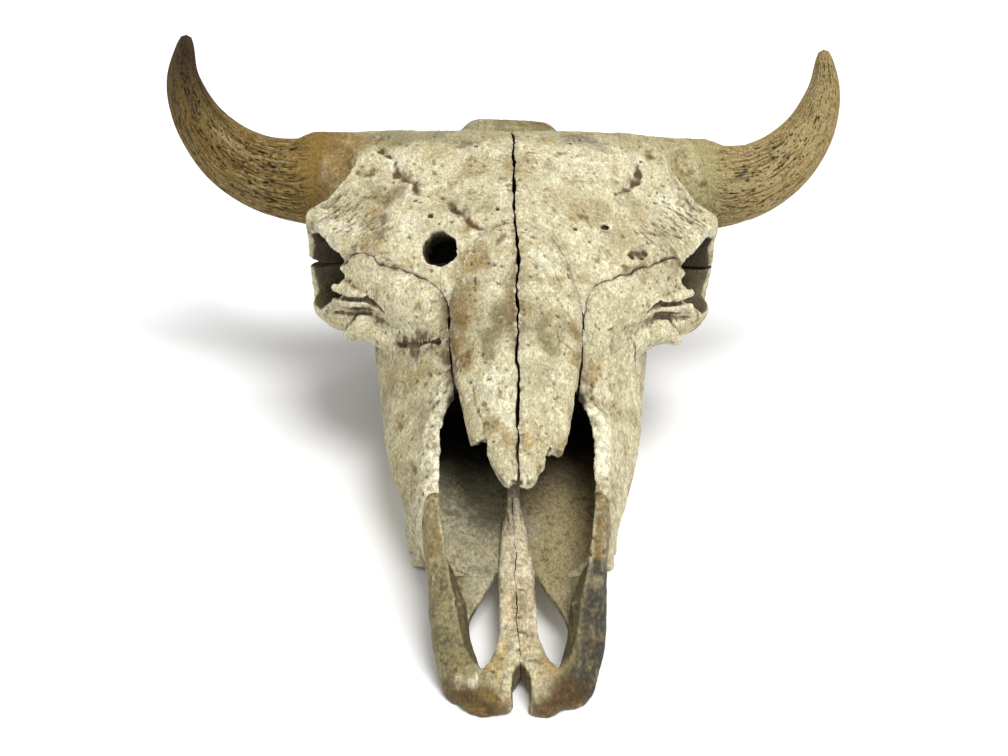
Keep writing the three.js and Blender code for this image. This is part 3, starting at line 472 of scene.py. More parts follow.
def cheek_teeth(x, y, z):
    field = np.float32(1e3)
    start = TOOTH_ROW_START
    for i, (length, width, height) in enumerate(TEETH):
        middle = start + length / 2
        lobes = 2 if i > 2 else 1
        lobe = length / lobes
        inward = tooth_row_x(np.array(middle)) - 2 * z / height
        waist = 1 - 0.2 * (lobes - 1) * np.exp(-(((y - middle) / 3) ** 2))
        turn = np.pi * lobes * (y - start) / length
        rib = np.where(x > inward, 1.3 * np.cos(2 * turn) * (2 * lobes - 3), 0)
        side = np.abs(x - inward) - (width / 2 - 3) * waist * (1 - 0.1 * z / height) - rib
        end = np.abs(y - middle) - (length / 2 - 3.3)
        crown = np.hypot(np.maximum(side, 0), np.maximum(end, 0)) + np.minimum(np.maximum(side, end), 0) - 3
        worn = CUSP_HEIGHT * (1 - np.abs(np.sin(turn)))
        crown = np.maximum(np.maximum(crown, z - height * 1.3), (worn - z) * 0.8)
        for n in range(lobes):
            at = start + lobe * (n + 0.5)
            ring = np.sqrt(((y - at) / (0.3 * lobe)) ** 2 + ((x - inward + 1) / (0.27 * width)) ** 2)
            crescent = np.maximum(np.abs(ring - 1) * 0.28 * lobe - 1.0, (inward - 1 - x) - 0.16 * width)
            crown = np.maximum(crown, -np.maximum(crescent, z - worn - 3))
        field = np.minimum(field, crown)
        start += length
    return field


# Sutures: a bone is what lies inside its own cell and outside the cells of the bones named before it.
# A cell is bounded by an outline in plan (x, y), one in side view (y, z), or both.
nasal_depth = through((100, 40), (250, 36), (285, 24), (314, 13))
nasal_free = through((205, 1.6), (226, 0))
along_nasal = [float(v) for v in np.linspace(116, 313, 25)]
along_roof = [float(v) for v in np.linspace(90, 330, 9)]
along_tongue = [float(v) for v in np.linspace(80, 168, 7)]
CELLS = {
    "nasal": [{
        "plan": [(-20, 100), (12, 100)]
        + [(float(nasal_reach(np.array(y)) + nasal_free(np.array(y))), y) for y in along_nasal]
        + [(-20, 314)],
        "side": [(90, 300)]
        + [(y, float(roof_height(np.array(y)) - nasal_depth(np.array(y)))) for y in along_roof]
        + [(330, 300)],
    }],
    "premaxilla": [
        {"side": [(-30, -30), (104, -30), (104, 12), (126, 45), (148, 84), (152, 110), (-30, 110)]},
        {
            "plan": [(-30, 80)]
            + [(float(tongue_reach(np.array(y)) + 1.5), y) for y in along_tongue]
            + [(-30, 168)],
            "side": [(80, 5), (168, 26), (168, 64), (80, 60)],
        },
    ],
    "vomer": [{
        "plan": [(-30, 168), (6.5, 168), (6.5, 292), (-30, 292)],
        "side": [(160, 37), (300, 51), (300, 108), (250, 98), (160, 64)],
    }],
    "lacrimal": [{
        "plan": [(170, 323), (130, 321), (118, 318), (105, 312), (90, 302), (76, 293), (63, 282), (55, 275),
                 (51, 267), (49.5, 258), (49.5, 230), (170, 230)],
        "side": [(230, 152), (243, 138), (258, 130), (276, 125), (284, 132), (289, 135), (301, 138),
                 (310, 132), (318, 124), (345, 118), (345, 260), (230, 260)],
    }],
    "zygomatic": [{
        "plan": [(84, 280), (120, 284), (200, 320), (200, 404), (112, 404), (100, 372), (98, 330), (90, 302)],
        "side": [(276, 98), (300, 92), (335, 88), (362, 66), (410, 50), (410, 140), (276, 140)],
    }],
    "parietal": [{"side": [(497, 150), (600, 150), (600, 300), (490, 300), (490, 160)]}],
    "frontal": [{"side": [(258, 140), (497, 140), (497, 300), (258, 300)]}],
    "exoccipital": [{"side": [(474, -20), (600, -20), (600, 300), (474, 300)]}],
    "temporal": [{"plan": [(58, 396), (250, 396), (250, 480), (58, 480)]}],
    "palatine": [{
        "plan": [(-30, 248), (34, 248), (47, 270), (47, 400), (-30, 400)],
        "side": [(240, -20), (400, -20), (400, 77), (300, 77), (285, 66), (240, 60)],
    }],
    "sphenoid": [{"side": [(330, -20), (480, -20), (480, 300), (300, 300), (300, 112), (330, 96)]}],
    "maxilla": [{"side": [(90, -20), (345, -20), (345, 200), (90, 200)]}],
}
SINGLE = ("vomer", "parietal", "sphenoid")
LOW = (0, -6, -4)
HIGH = (178, 556, 240)
# Spacing of the samples each bone is made from, and the clear width of the sutures round it
STEPS = {
    "nasal": 1.0, "premaxilla": 1.1, "vomer": 1.3, "lacrimal": 0.9, "zygomatic": 1.0, "parietal": 1.7,
    "frontal": 1.3, "exoccipital": 1.8, "temporal": 1.7, "palatine": 1.8, "sphenoid": 2.2, "maxilla": 1.35,
}
HAIRLINE = 0.16
OPEN_SUTURE = 0.75
WIGGLES = {"nasal": 1.6, "premaxilla": 1.2, "vomer": 0.5, "lacrimal": 3.0, "zygomatic": 2.4}
PLAIN_WIGGLE = 3.0


def gap_of(name, y, z):
    """Clear width of the sutures round a bone: open over the lacrimals and beside the nasals."""
    if name == "lacrimal":
        return HAIRLINE + OPEN_SUTURE * ramp(z, 150, 166)
    if name == "nasal":
        return HAIRLINE + OPEN_SUTURE * ramp(268 - y, 0, 20)
    return HAIRLINE


# Wear and small forms, carved or added where they lie; x is signed here, the animal's left is positive
def edit(field, x, y, z, low, high, change):
    """Applies a change to the samples between two corners."""
    picks = []
    for v, least, most in zip((x[:, 0, 0], y[0, :, 0], z[0, 0]), low, high):
        found = np.flatnonzero((v >= least) & (v <= most))
        if len(found) == 0:
            return
        picks.append(slice(found[0], found[-1] + 1))
    i, j, k = picks
    field[i, j, k] = change(field[i, j, k], x[i], y[:, j], z[:, :, k])


def around(points, margin):
    corners = np.array(points, float)[:, :3]
    return corners.min(0) - margin, corners.max(0) + margin


def spread_out(f, *axes):
    """Axes of a block brought to the block's own shape."""
    return [v + 0 * f for v in axes]


def side_of(x):
    """1 on the animal's left, -1 on its right."""
    return np.sign(x.sum()) or 1


def on_side(points, side):
    return [(side * a, b, c) for a, b, c in points]


FURROW_RAGGED = 2.8
RAGGED_SIZE = 7


def furrow(field, x, y, z, points, radii, blend=0.8, rough=None):
    """Carves a groove along points, with ragged sides if rough noise is given."""
    low, high = around(points, 9)

    def change(f, a, b, c):
        groove = chain(a, b, c, points, radii, 1.0)
        if rough is not None:
            groove = groove + FURROW_RAGGED * rough.layered(*spread_out(f, a, b, c), RAGGED_SIZE)
        return cut(f, groove, blend)

    edit(field, x, y, z, low, high, change)


def ridge_on(field, x, y, z, points, radii, blend=3.5):
    low, high = around(points, 14)
    edit(field, x, y, z, low, high, lambda f, a, b, c: join(f, chain(a, b, c, points, radii, 1.0), blend))


# Hole into the sinus over the right eye: a ragged tube and the room under it, with thin webs across
SINUS_HOLE = np.array((-55.0, 306.2, 185.0))
SINUS_AXIS = np.array((-0.36, -0.44, 0.82))
SINUS_RADIUS = 13.2
SINUS_STRETCH = 1.12
SINUS_DEPTH = 16
SINUS_RAGGED = 2.4
SINUS_ROOM = [(-21, 2, -3), (15, 25, 30)]
SINUS_SPAN = 46
WEB_HALF = 1.5
WEB_STEEPNESS = 13
WEB_SIZE = 15


def sinus_hole(field, x, y, z, noise):
    axis = SINUS_AXIS / np.linalg.norm(SINUS_AXIS)
    along_slope = np.cross(axis, (1.0, 0.0, 0.0))
    along_slope /= np.linalg.norm(along_slope)
    across = np.cross(along_slope, axis)

    def change(f, a, b, c):
        d = [v - o for v, o in zip((a, b, c), SINUS_HOLE)]
        up, side, slope = (sum(q * w for q, w in zip(d, way)) for way in (axis, across, along_slope))
        places = spread_out(up, a, b, c)
        ragged = SINUS_RAGGED * noise.layered(*places, RAGGED_SIZE)
        tube = np.maximum(np.hypot(side, slope / SINUS_STRETCH) - SINUS_RADIUS + ragged, -SINUS_DEPTH - up)
        room = ellipsoid(up, side, slope, *SINUS_ROOM) + 2 * ragged
        webs = WEB_HALF - WEB_STEEPNESS * np.abs(noise(*places, WEB_SIZE))
        room = np.maximum(room, np.maximum(webs, up + 9))
        return cut(f, np.minimum(tube, room), 0.8)

    edit(field, x, y, z, SINUS_HOLE - SINUS_SPAN, SINUS_HOLE + SINUS_SPAN, change)


# Furrows and pits of the roof: place in plan and radius
FURROWS = [
    [(-106, 419, 2.4), (-101, 411, 3.0), (-93, 402, 2.0), (-92, 392, 4.2), (-86, 387, 2.2),
     (-78, 380, 3.2), (-76, 369, 2.4), (-69, 356, 1.2)],
    [(-58, 358, 0.9), (-49, 344, 2.2), (-44, 333, 2.2), (-37, 327, 1.4), (-33, 317, 2.0), (-25, 311, 0.8)],
    [(100, 404, 2.0), (99, 396, 3.2), (100, 391, 4.0), (94, 386, 3.8), (87, 378, 2.4), (78, 366, 1.0)],
    [(85, 310, 1.2), (90, 313, 2.6), (94, 312, 1.6), (98, 315, 2.8), (103, 316, 1.0)],
    [(-60, 293, 1.2), (-63, 286, 0.8)],
]
FURROW_LIFT = 0.4
FURROW_BLEND = 2.0
NASAL_CRACK = [(-34, 206, 0.3), (-31, 192, 0.8), (-29, 180, 0.5), (-26, 172, 0.9), (-22, 161, 0.4)]
PITS = [
    (-75, 356, 1.7), (-63, 333, 1.9), (-56, 323, 1.4), (-47, 322, 1.2), (46, 317, 1.9), (69, 326, 2.6),
    (88, 311, 2.4), (93, 314, 2.0), (99, 315, 2.6), (96, 312, 2.0), (63, 304, 2.0), (102, 408, 1.8),
    (54, 428, 1.4), (46, 421, 1.4), (-30, 414, 1.2), (-36, 418, 1.3), (62, 432, 1.5), (12, 437, 1.3),
    (-12, 330, 1.0), (28, 366, 1.1),
]


def on_roof(x, y):
    return (x, y, float(roof_top(np.array(abs(x)), np.array(float(y)))))


def roof_furrows(field, x, y, z, noise):
    for places in FURROWS:
        path = [np.array(on_roof(a, b)) + (0, 0, FURROW_LIFT * r) for a, b, r in places]
        furrow(field, x, y, z, path, [r for a, b, r in places], FURROW_BLEND, noise)
    for a, b, radius in PITS:
        top = np.array(on_roof(a, b))
        furrow(field, x, y, z, [top, top + (0, 1, -1.5)], [radius, radius * 0.7], rough=noise)


BROW_LIP = 3.2
LACRIMAL_EDGE = 129.5
EDGE_WOBBLE = 1.8
EYE_FLOOR = 136
EYE_ENDS = (322, 380)
LACRIMAL_END = 342
# Notch in the bar behind the right eye: level, and where it starts from the front and from the midline
EYE_NOTCH = 139.5
NOTCH_FRONT = 375
NOTCH_INNER = 143


def orbit_edge(field, x, y, z):
    """Undercuts the brow to a thin lip, trims the socket's front edge and notches the bar behind the eye."""
    side = side_of(x)

    def change(f, a, b, c):
        w = np.abs(a)
        lip = roof_top(w, b) - BROW_LIP - np.maximum(brow_reach(b) - w, 0)
        level = np.maximum(c - lip, EYE_FLOOR - c)
        under = largest_of(level, between(b, *EYE_ENDS), eye_hollow(w, b, c) - 9)
        front = LACRIMAL_EDGE + EDGE_WOBBLE * np.sin(c * 0.5 + b * 0.3) - w
        front = largest_of(front, b - LACRIMAL_END, level)
        f = cut(f, np.minimum(under, front), 1.2)
        if side < 0:
            half = 0.4 + 0.17 * np.maximum(w - NOTCH_INNER, 0)
            f = cut(f, largest_of(np.abs(c - EYE_NOTCH) - half, NOTCH_FRONT - b, NOTCH_INNER - w), 1)
        return f

    low, high = sorted((side * 100, side * 176))
    edit(field, x, y, z, (low, 304, 126), (high, 406, 200), change)


def forehead(field, x, y, z, noise):
    sinus_hole(field, x, y, z, noise)
    roof_furrows(field, x, y, z, noise)
    orbit_edge(field, x, y, z)


# Bony fingers in front of the eye, and the gaps between them
FINGERS = [
    ([(135.5, 316.5, 148.5), (124, 309, 148.5), (108, 299, 148)], [3.2, 3.4, 2.2]),
    ([(136, 317, 136.5), (124, 309.5, 139), (106, 297.5, 143.5)], [3.0, 3.2, 2.0]),
]
FINGER_GAPS = [
    ([(142, 319, 156), (124.5, 311.5, 156)], [3.4, 2.4]),
    ([(140, 317, 142), (124, 309, 143), (109.5, 299.6, 147), (101.7, 292, 142.5), (94, 286.5, 135)],
     [2.6, 2.2, 2.8, 2.4, 0.8]),
    ([(142, 318, 126), (124.3, 309.6, 130.5), (110, 300.2, 136), (100, 291.5, 134.2), (95.7, 288, 131.5)],
     [1.8, 1.6, 1.8, 1.6, 0.6]),
]


def eye_corner(field, x, y, z, noise):
    orbit_edge(field, x, y, z)
    cheek_band(field, x, y, z, noise)
    side = side_of(x)
    for points, radii in FINGERS:
        ridge_on(field, x, y, z, on_side(points, side), radii)
    for points, radii in FINGER_GAPS:
        furrow(field, x, y, z, on_side(points, side), radii, 1.0)


# Notch beside the left process of the nasals, and the blocks in which the processes and the tips are trimmed
NOSE_NOTCH = [(21, 154, 110), (19, 143, 101)]
NOSE_NOTCH_RADII = [0.4, 3.4]
LEFT_PROCESS = [(24, 140, 70), (50, 175, 135)]
RIGHT_PROCESS = [(-45, 140, 70), (-22, 168, 135)]
NOSE_TIP = [(-40, 100, 60), (40, 142, 130)]


def nose_tips(field, x, y, z, noise):
    """Side processes of the nasals: one pointed beside a notch, one blunt and split off by a crack."""
    roof_furrows(field, x, y, z, noise)
    furrow(field, x, y, z, [on_roof(a, b) for a, b, r in NASAL_CRACK], [r for a, b, r in NASAL_CRACK])
    furrow(field, x, y, z, NOSE_NOTCH, NOSE_NOTCH_RADII)

    def pointed(f, a, b, c):
        return np.maximum(f, 150 + 1.8 * (a - 26) - b)

    def blunt(f, a, b, c):
        bite = noise.layered(*spread_out(f, a * 1.4, b * 0.5, c), 5)
        return np.maximum(f, 158 - b - 0.5 * (a + 24) + 5 * bite)

    def frayed(f, a, b, c):
        bite = noise.layered(*spread_out(f, a * 1.5, b * 0.5, c * 0.5), 3)
        return np.maximum(f, (131 - b) * 0.5 - 3.5 + 4.5 * bite)

    edit(field, x, y, z, *LEFT_PROCESS, pointed)
    edit(field, x, y, z, *RIGHT_PROCESS, blunt)
    edit(field, x, y, z, *NOSE_TIP, frayed)


# Side rods of the muzzle, filled round to the edge of the fissures, and the worn front edge of each side
MUZZLE_ROD = [(29, 24, 5), (36, 31, 8.5), (42.5, 50, 20.5), (45, 73, 33), (49, 94, 44)]
MUZZLE_ROD_RADII = [9, 12, 12, 11.5, 8]
front_edges = {
    1: through(
        (0, 9.5), (10, 6.5), (17, 5.5), (22, 8), (26, 10.5), (34, 13), (40, 16.5),
        (44, 20), (48.5, 24), (54, 26),
    ),
    -1: through(
        (0, 11), (12, 6.5), (24, 5.5), (30, 8.5), (35, 11), (40, 15.5), (45, 21), (48.5, 24), (54, 26),
    ),
}
front_notch = through((0, 3.4), (10, 4.2), (18, 5.6), (26, 5.4), (33, 2.6), (38, 0.2))
FRONT_NOTCH_END = 40
FRONT_END = [(-80, -10, -10), (80, 46, 45)]


def muzzle_end(field, x, y, z, noise):
    side = int(side_of(x))
    ridge_on(field, x, y, z, on_side(MUZZLE_ROD, side), MUZZLE_ROD_RADII, 4)

    def worn(f, a, b, c):
        places = spread_out(f, a, b, c)
        lump, chip = noise.layered(*places, 9), noise.layered(*places, 4)
        f = f + np.clip((40 - b) / 20, 0, 1) * (2.2 * lump + 0.9 * chip)
        behind = b - front_edges[side](np.abs(a))
        f = common(f, -0.85 * behind + 1.5 * lump, 4)
        f = common(f, (c - 2.5 - 1.3 * np.maximum(behind, 0)) * 0.62 + 0.8 * lump, 5)
        return cut(f, np.maximum(np.abs(a) - front_notch(b), b - FRONT_NOTCH_END), 2)

    edit(field, x, y, z, *FRONT_END, worn)


# Gnawed band under the right lacrimal and a few pits under the left one
CHEEK_BAND = [
    (-88, 279, 120), (-84, 275, 122), (-77, 266, 127), (-70, 257, 131), (-63, 250, 136), (-56, 243, 140),
]
CHEEK_BAND_RADII = [0.8, 2.0, 1.2, 1.9, 1.2, 1.8]
CHEEK_PITS = [(82, 262, 128), (79, 260, 129), (70, 257, 132), (86, 268, 126)]
CHEEK_PIT_RADII = [1.8, 1.2]
CHEEK_STROKES = 15
STROKE_WAY = np.array((0, -0.67, -0.74))
STROKE_RADII = [0.4, 1.3, 0.4]


def cheek_band(field, x, y, z, noise):
    furrow(field, x, y, z, CHEEK_BAND, CHEEK_BAND_RADII, rough=noise)
    first, last = np.array(CHEEK_BAND[0]), np.array(CHEEK_BAND[-1])
    for share in np.linspace(0, 1, CHEEK_STROKES):
        at = first + (last - first) * share
        up, down = (3 + 3.5 * float(noise(at[0], at[1], at[2] + turn, 5)) for turn in (0, 40))
        furrow(field, x, y, z, [at - STROKE_WAY * up, at, at + STROKE_WAY * down], STROKE_RADII)
    for place in CHEEK_PITS:
        furrow(field, x, y, z, [place, np.array(place) + (0, 2, -2)], CHEEK_PIT_RADII, rough=noise)


DETAILS = {
    "frontal": forehead, "lacrimal": eye_corner, "zygomatic": eye_corner, "nasal": nose_tips,
    "premaxilla": muzzle_end, "maxilla": cheek_band,
}


# Surfaces
def closed_mesh(values):
    """Zero surface of sampled values: points in grid steps and outward quads."""
    for axis in range(3):
        edge = [slice(None)] * 3
        for end in (0, -1):
            edge[axis] = end
            values[tuple(edge)] = np.maximum(values[tuple(edge)], 0.3)
    grid = openvdb.FloatGrid(1.0e3)
    grid.copyFromArray(np.ascontiguousarray(values, np.float32))
    points, quads = grid.convertToQuads(0.0)
    return points.astype(np.float64), quads.astype(np.int64)


def kept_largest(points, quads):
    """Drops every loose bit but the largest."""
    label = np.arange(len(points))
    while True:
        low = label[quads].min(1)
        new = label.copy()
        np.minimum.at(new, quads.ravel(), np.repeat(low, 4))
        new = new[new]
        if (new == label).all():
            break
        label = new
    best = np.bincount(label[quads[:, 0]]).argmax()
    quads = quads[label[quads[:, 0]] == best]
    used, flat = np.unique(quads, return_inverse=True)
    return points[used], flat.reshape(-1, 4)


def normals_of(points, quads):
    a, b, c, d = (points[quads[:, i]] for i in range(4))
    facing = np.cross(c - a, d - b)
    corner = quads.ravel()
    total = np.stack([np.bincount(corner, np.repeat(facing[:, i], 4), len(points)) for i in range(3)], 1)
    return total / (np.linalg.norm(total, axis=1, keepdims=True) + 1e-12)


def bulge_of(points, quads, normals, rounds):
    """How far each point stands out from its neighbours: positive on ridges, negative in creases."""
    ahead = np.concatenate([quads[:, i] for i in range(4)])
    after = np.concatenate([quads[:, (i + 1) % 4] for i in range(4)])
    count = np.bincount(ahead, minlength=len(points))[:, None]

    def evened(v):
        return np.stack([np.bincount(ahead, v[after, i], len(points)) for i in range(v.shape[1])], 1) / count

    smooth = points
    for _ in range(rounds):
        smooth = evened(smooth)
    return evened(((points - smooth) * normals).sum(1, keepdims=True))[:, 0]


def read_between(values, q):
    """Values at fractional sample places."""
    top = np.array(values.shape) - 2
    base = np.clip(np.floor(q).astype(np.int64), 0, top)
    t = np.clip(q - base, 0, 1)
    total = 0
    for corner in range(8):
        pick = np.array([(corner >> a) & 1 for a in range(3)])
        i, j, k = (base + pick).T
        weight = np.where(pick, t, 1 - t).prod(1)
        total = total + weight * values[i, j, k]
    return total


def settled(q, fields, step):
    """Moves points near an edge between two surfaces onto both of them, so that the edge is sharp."""
    near = np.all([np.abs(read_between(f, q)) < 1.3 * step for f in fields], 0)
    moved = q[near]
    for _ in range(3):
        for f in fields:
            slope = np.stack([
                read_between(f, moved + 0.5 * e) - read_between(f, moved - 0.5 * e) for e in np.eye(3)
            ], 1)
            size = (slope**2).sum(1)
            shift = slope * (read_between(f, moved) / np.maximum(size, 0.05 * step * step))[:, None]
            far = np.maximum(np.linalg.norm(shift, axis=1, keepdims=True) / 0.6, 1)
            moved = moved - shift / far
    result = q.copy()
    result[near] = moved
    return result


NOISE_SEED = 7
COARSE_STEP = 3.0
CELL_MARGIN = 6
SLAB = 16  # rows of samples worked out at a time


class Skull:
    """Samples bones from the skull's field."""

    def __init__(self):
        self.noise = Noise(NOISE_SEED)
        step = COARSE_STEP
        axes = [np.arange(low, high + step, step, dtype=np.float32) for low, high in zip(LOW, HIGH)]
        self.whole = skull_field(axes[0][:, None, None], axes[1][None, :, None], axes[2][None, None, :])
        self.last = (None, None)

    def field_at(self, points):
        """The whole skull's field at loose points, read between coarse samples."""
        q = np.stack([np.abs(points[:, 0]), points[:, 1] - LOW[1], points[:, 2] - LOW[2]], 1)
        return read_between(self.whole, q / COARSE_STEP)

    def extent(self, name):
        """Lowest and highest corner of a bone's cells."""
        low, high = np.array(HIGH, float), np.array(LOW, float)
        for cell in CELLS[name]:
            plan, side = cell.get("plan"), cell.get("side")
            xs = [p[0] for p in plan] if plan else [LOW[0], HIGH[0]]
            ys = [p[1] for p in plan] if plan else [LOW[1], HIGH[1]]
            zs = [p[1] for p in side] if side else [LOW[2], HIGH[2]]
            if side:
                ys = [max(min(ys), min(p[0] for p in side)), min(max(ys), max(p[0] for p in side))]
            low = np.minimum(low, [min(xs), min(ys), min(zs)])
            high = np.maximum(high, [max(xs), max(ys), max(zs)])
        return np.maximum(low - CELL_MARGIN, LOW), np.minimum(high + CELL_MARGIN, HIGH)

    def samples(self, name, step):
        """Axes of a bone's box and the half skull's field in it."""
        if self.last[0] != name:
            low, high = self.extent(name)
            starts = [math.floor(a / step) * step for a in low]
            axes = [np.arange(a, b + step, step, dtype=np.float32) for a, b in zip(starts, high)]
            x, y, z = axes[0][:, None, None], axes[1][None, :, None], axes[2][None, None, :]
            parts = [skull_field(x[i:i + SLAB], y, z) for i in range(0, len(x), SLAB)]
            slant = math.hypot(1, HORN_ROOT_SLANT)
            values = np.maximum(np.concatenate(parts), horn_root_side(x, y) / np.float32(slant))
            self.last = (name, (axes, values))
        return self.last[1]

    def cell_field(self, name, x, u, y, z):
        """Negative inside a bone's cells. The outlines waver, differently on each side of the head."""
        noise = self.noise
        wiggle = 0 if name == "maxilla" else WIGGLES.get(name, PLAIN_WIGGLE)
        field = None
        for cell in CELLS[name]:
            parts = []
            if "plan" in cell:
                waver = wiggle * noise.layered(x[:, :, 0], y[:, :, 0], np.float32(3.3), 10, 4)
                parts.append((outline_distance(u[:, :, 0], y[:, :, 0], cell["plan"]) + waver)[:, :, None])
            if "side" in cell:
                flat = np.float32(math.copysign(40.0, float(x.sum())))
                waver = wiggle * noise.layered(flat, y[0], z[0], 10, 4)
                parts.append((outline_distance(y[0], z[0], cell["side"]) + waver)[None])
            one = parts[0] if len(parts) == 1 else np.maximum(*parts)
            field = one if field is None else np.minimum(field, one)
        return field

    def bone(self, name, side, settings):
        """One bone's surface: points and quads in millimetres, and each point's distance from the sutures."""
        step = STEPS[name] / settings.fineness
        (ax, ay, az), half = self.samples(name, step)
        start = round(float(ax[0]) / step)
        last = start + len(ax) - 1
        first = -last if side == 0 else start - (3 if start == 0 else 0)
        index = np.arange(first, last + 1)
        u = (index * step).astype(np.float32)[:, None, None]
        x = u * (side or 1)
        y, z = ay[None, :, None], az[None, None, :]
        carved = half[np.abs(index) - start].copy()
        away = np.abs(u) if side == 0 else u
        width = settings.suture_gap
        open_share = np.maximum(1 + 1.6 * self.noise.layered(x, y, np.float32(0.5), 12), 0.15)
        inside = self.cell_field(name, x, away, y, z) + gap_of(name, y, z) / 2 * width * open_share
        for other in CELLS:
            if other == name:
                break
            gap = gap_of(other, y, z) / 2 * width * open_share
            inside = np.maximum(inside, gap - self.cell_field(other, x, away, y, z))
        if side:
            line = 2.6 * self.noise.layered(np.float32(8.8), y, z / 3, 26)
            line = line + 0.8 * self.noise(np.float32(1.8), y, z / 2, 4)
            uneven = 1 + 1.3 * self.noise.layered(np.float32(2.2), y, z / 3, 9)
            wide = settings.crack_width / MM / 2 * uneven
            wide = wide * (1 if name in ("frontal", "nasal") else 0.25)
            inside = np.maximum(inside, np.maximum(wide, 0.15) + side * line - u)
        if name in DETAILS:
            DETAILS[name](carved, x, y, z, self.noise)
        values = np.maximum(carved, inside)
        if name == "maxilla":
            values = np.minimum(values, cheek_teeth(away, y, z))
        values = np.maximum(values, -z).astype(np.float32)
        q, quads = kept_largest(*closed_mesh(values))
        inside = np.broadcast_to(inside, values.shape)
        q = settled(q, (carved, inside), step)
        seam = np.maximum(-read_between(inside, q), 0)
        p = np.array([first * step, ay[0], az[0]]) + q * step
        if side < 0:
            p[:, 0] *= -1
            quads = quads[:, ::-1]
        return p, quads, seam


# Finishes: colours are mixed point by point, the finest grain comes from the material
WHITE = np.array((0.80, 0.76, 0.56))
CREAM = np.array((0.68, 0.62, 0.40))
IVORY = np.array((0.52, 0.46, 0.27))
KHAKI = np.array((0.36, 0.305, 0.145))
TAN = np.array((0.40, 0.295, 0.125))
GOLD = np.array((0.31, 0.205, 0.066))
BROWN = np.array((0.105, 0.06, 0.024))
OLIVE = np.array((0.235, 0.207, 0.105))
GREY = np.array((0.16, 0.15, 0.105))
SLATE = np.array((0.05, 0.051, 0.043))
DARK = np.array((0.014, 0.010, 0.006))
OCHRE = np.array((0.22, 0.138, 0.036))
UMBER = np.array((0.036, 0.021, 0.010))
ASH = np.array((0.38, 0.345, 0.215))
PINK = np.array((0.62, 0.51, 0.34))
SHADED_OLIVE = OLIVE * (0.42, 0.38, 0.36)
NECKS = {"left": KHAKI * 1.1, "right": OCHRE * 1.15}  # round the root of each horn core
AGED = np.array((0.78, 0.76, 0.68))  # what the oldest surfaces are multiplied by
# Stains of the roof: place in plan, reach, colour and strength
ROOF_STAINS = [
    (-12, 231, 13, OLIVE, 0.9), (-17, 219, 13, OLIVE, 0.95), (-21, 210, 9, OLIVE, 0.8),
    (16, 225, 14, OLIVE, 0.95), (23, 217, 12, OLIVE, 0.95), (31, 237, 11, OLIVE, 0.6),
    (-39, 242, 13, GOLD, 1.0), (-41, 226, 12, GOLD, 1.0), (-38, 212, 8, GOLD, 0.8),
    (41, 238, 10, GOLD, 0.8), (43, 222, 10, GOLD, 0.9), (-30, 256, 12, GOLD, 0.6),
    (-37, 268, 10, GOLD, 0.7), (-16, 186, 16, WHITE, 0.8), (-12, 164, 14, WHITE, 0.5),
    (12, 184, 13, IVORY, 0.5), (15, 166, 14, IVORY, 0.6), (16, 192, 20, OLIVE, 0.45),
    (30, 195, 9, WHITE, 0.7), (-34, 190, 6, WHITE, 0.8), (8, 146, 10, TAN, 0.7), (-8, 148, 12, GOLD, 0.7),
    (-20, 156, 9, GOLD, 0.7), (20, 284, 16, WHITE, 0.7), (-14, 258, 12, WHITE, 0.5),
    (-12, 298, 6, BROWN, 0.8), (-26, 291, 12, GOLD, 0.7), (-21, 283, 8, BROWN, 0.5),
    (-30, 282, 10, TAN, 0.9), (-36, 295, 10, TAN, 0.7), (-107, 378, 9, BROWN, 0.6),
    (-99, 362, 11, BROWN, 0.75), (-99, 343, 12, BROWN, 0.7), (-102, 330, 8, BROWN, 0.6),
    (-109, 355, 12, TAN, 0.8), (-92, 372, 8, BROWN, 0.5), (-30, 386, 22, TAN, 0.6),
    (-58, 407, 18, TAN, 0.5), (34, 344, 16, TAN, 0.35), (60, 350, 18, TAN, 0.35), (100, 350, 16, TAN, 0.5),
    (54, 431, 18, GREY, 0.8), (32, 387, 9, GREY, 0.4), (-36, 420, 9, GREY, 0.7), (-59, 440, 18, GREY, 0.6),
    (72, 415, 10, GREY, 0.4), (-96, 440, 24, OLIVE, 0.7), (-129, 345, 15, WHITE, 0.8),
    (-143, 367, 14, WHITE, 0.7), (-75, 330, 16, WHITE, 0.6), (137, 353, 14, WHITE, 0.7),
    (126, 381, 16, WHITE, 0.9), (-92, 402, 9, WHITE, 0.8), (-82, 366, 8, WHITE, 0.6),
    (50, 390, 20, WHITE, 0.5), (-10, 350, 16, WHITE, 0.5), (95, 315, 10, BROWN, 0.85),
    (69, 326, 6, GREY, 0.5), (-85, 388, 8, BROWN, 0.7), (-75, 369, 7, BROWN, 0.7),
    (-49, 343, 8, BROWN, 0.75), (-40, 330, 9, BROWN, 0.7), (-30, 316, 8, GOLD, 0.8),
    (96, 388, 8, BROWN, 0.7), (80, 320, 16, TAN, 0.5),
]
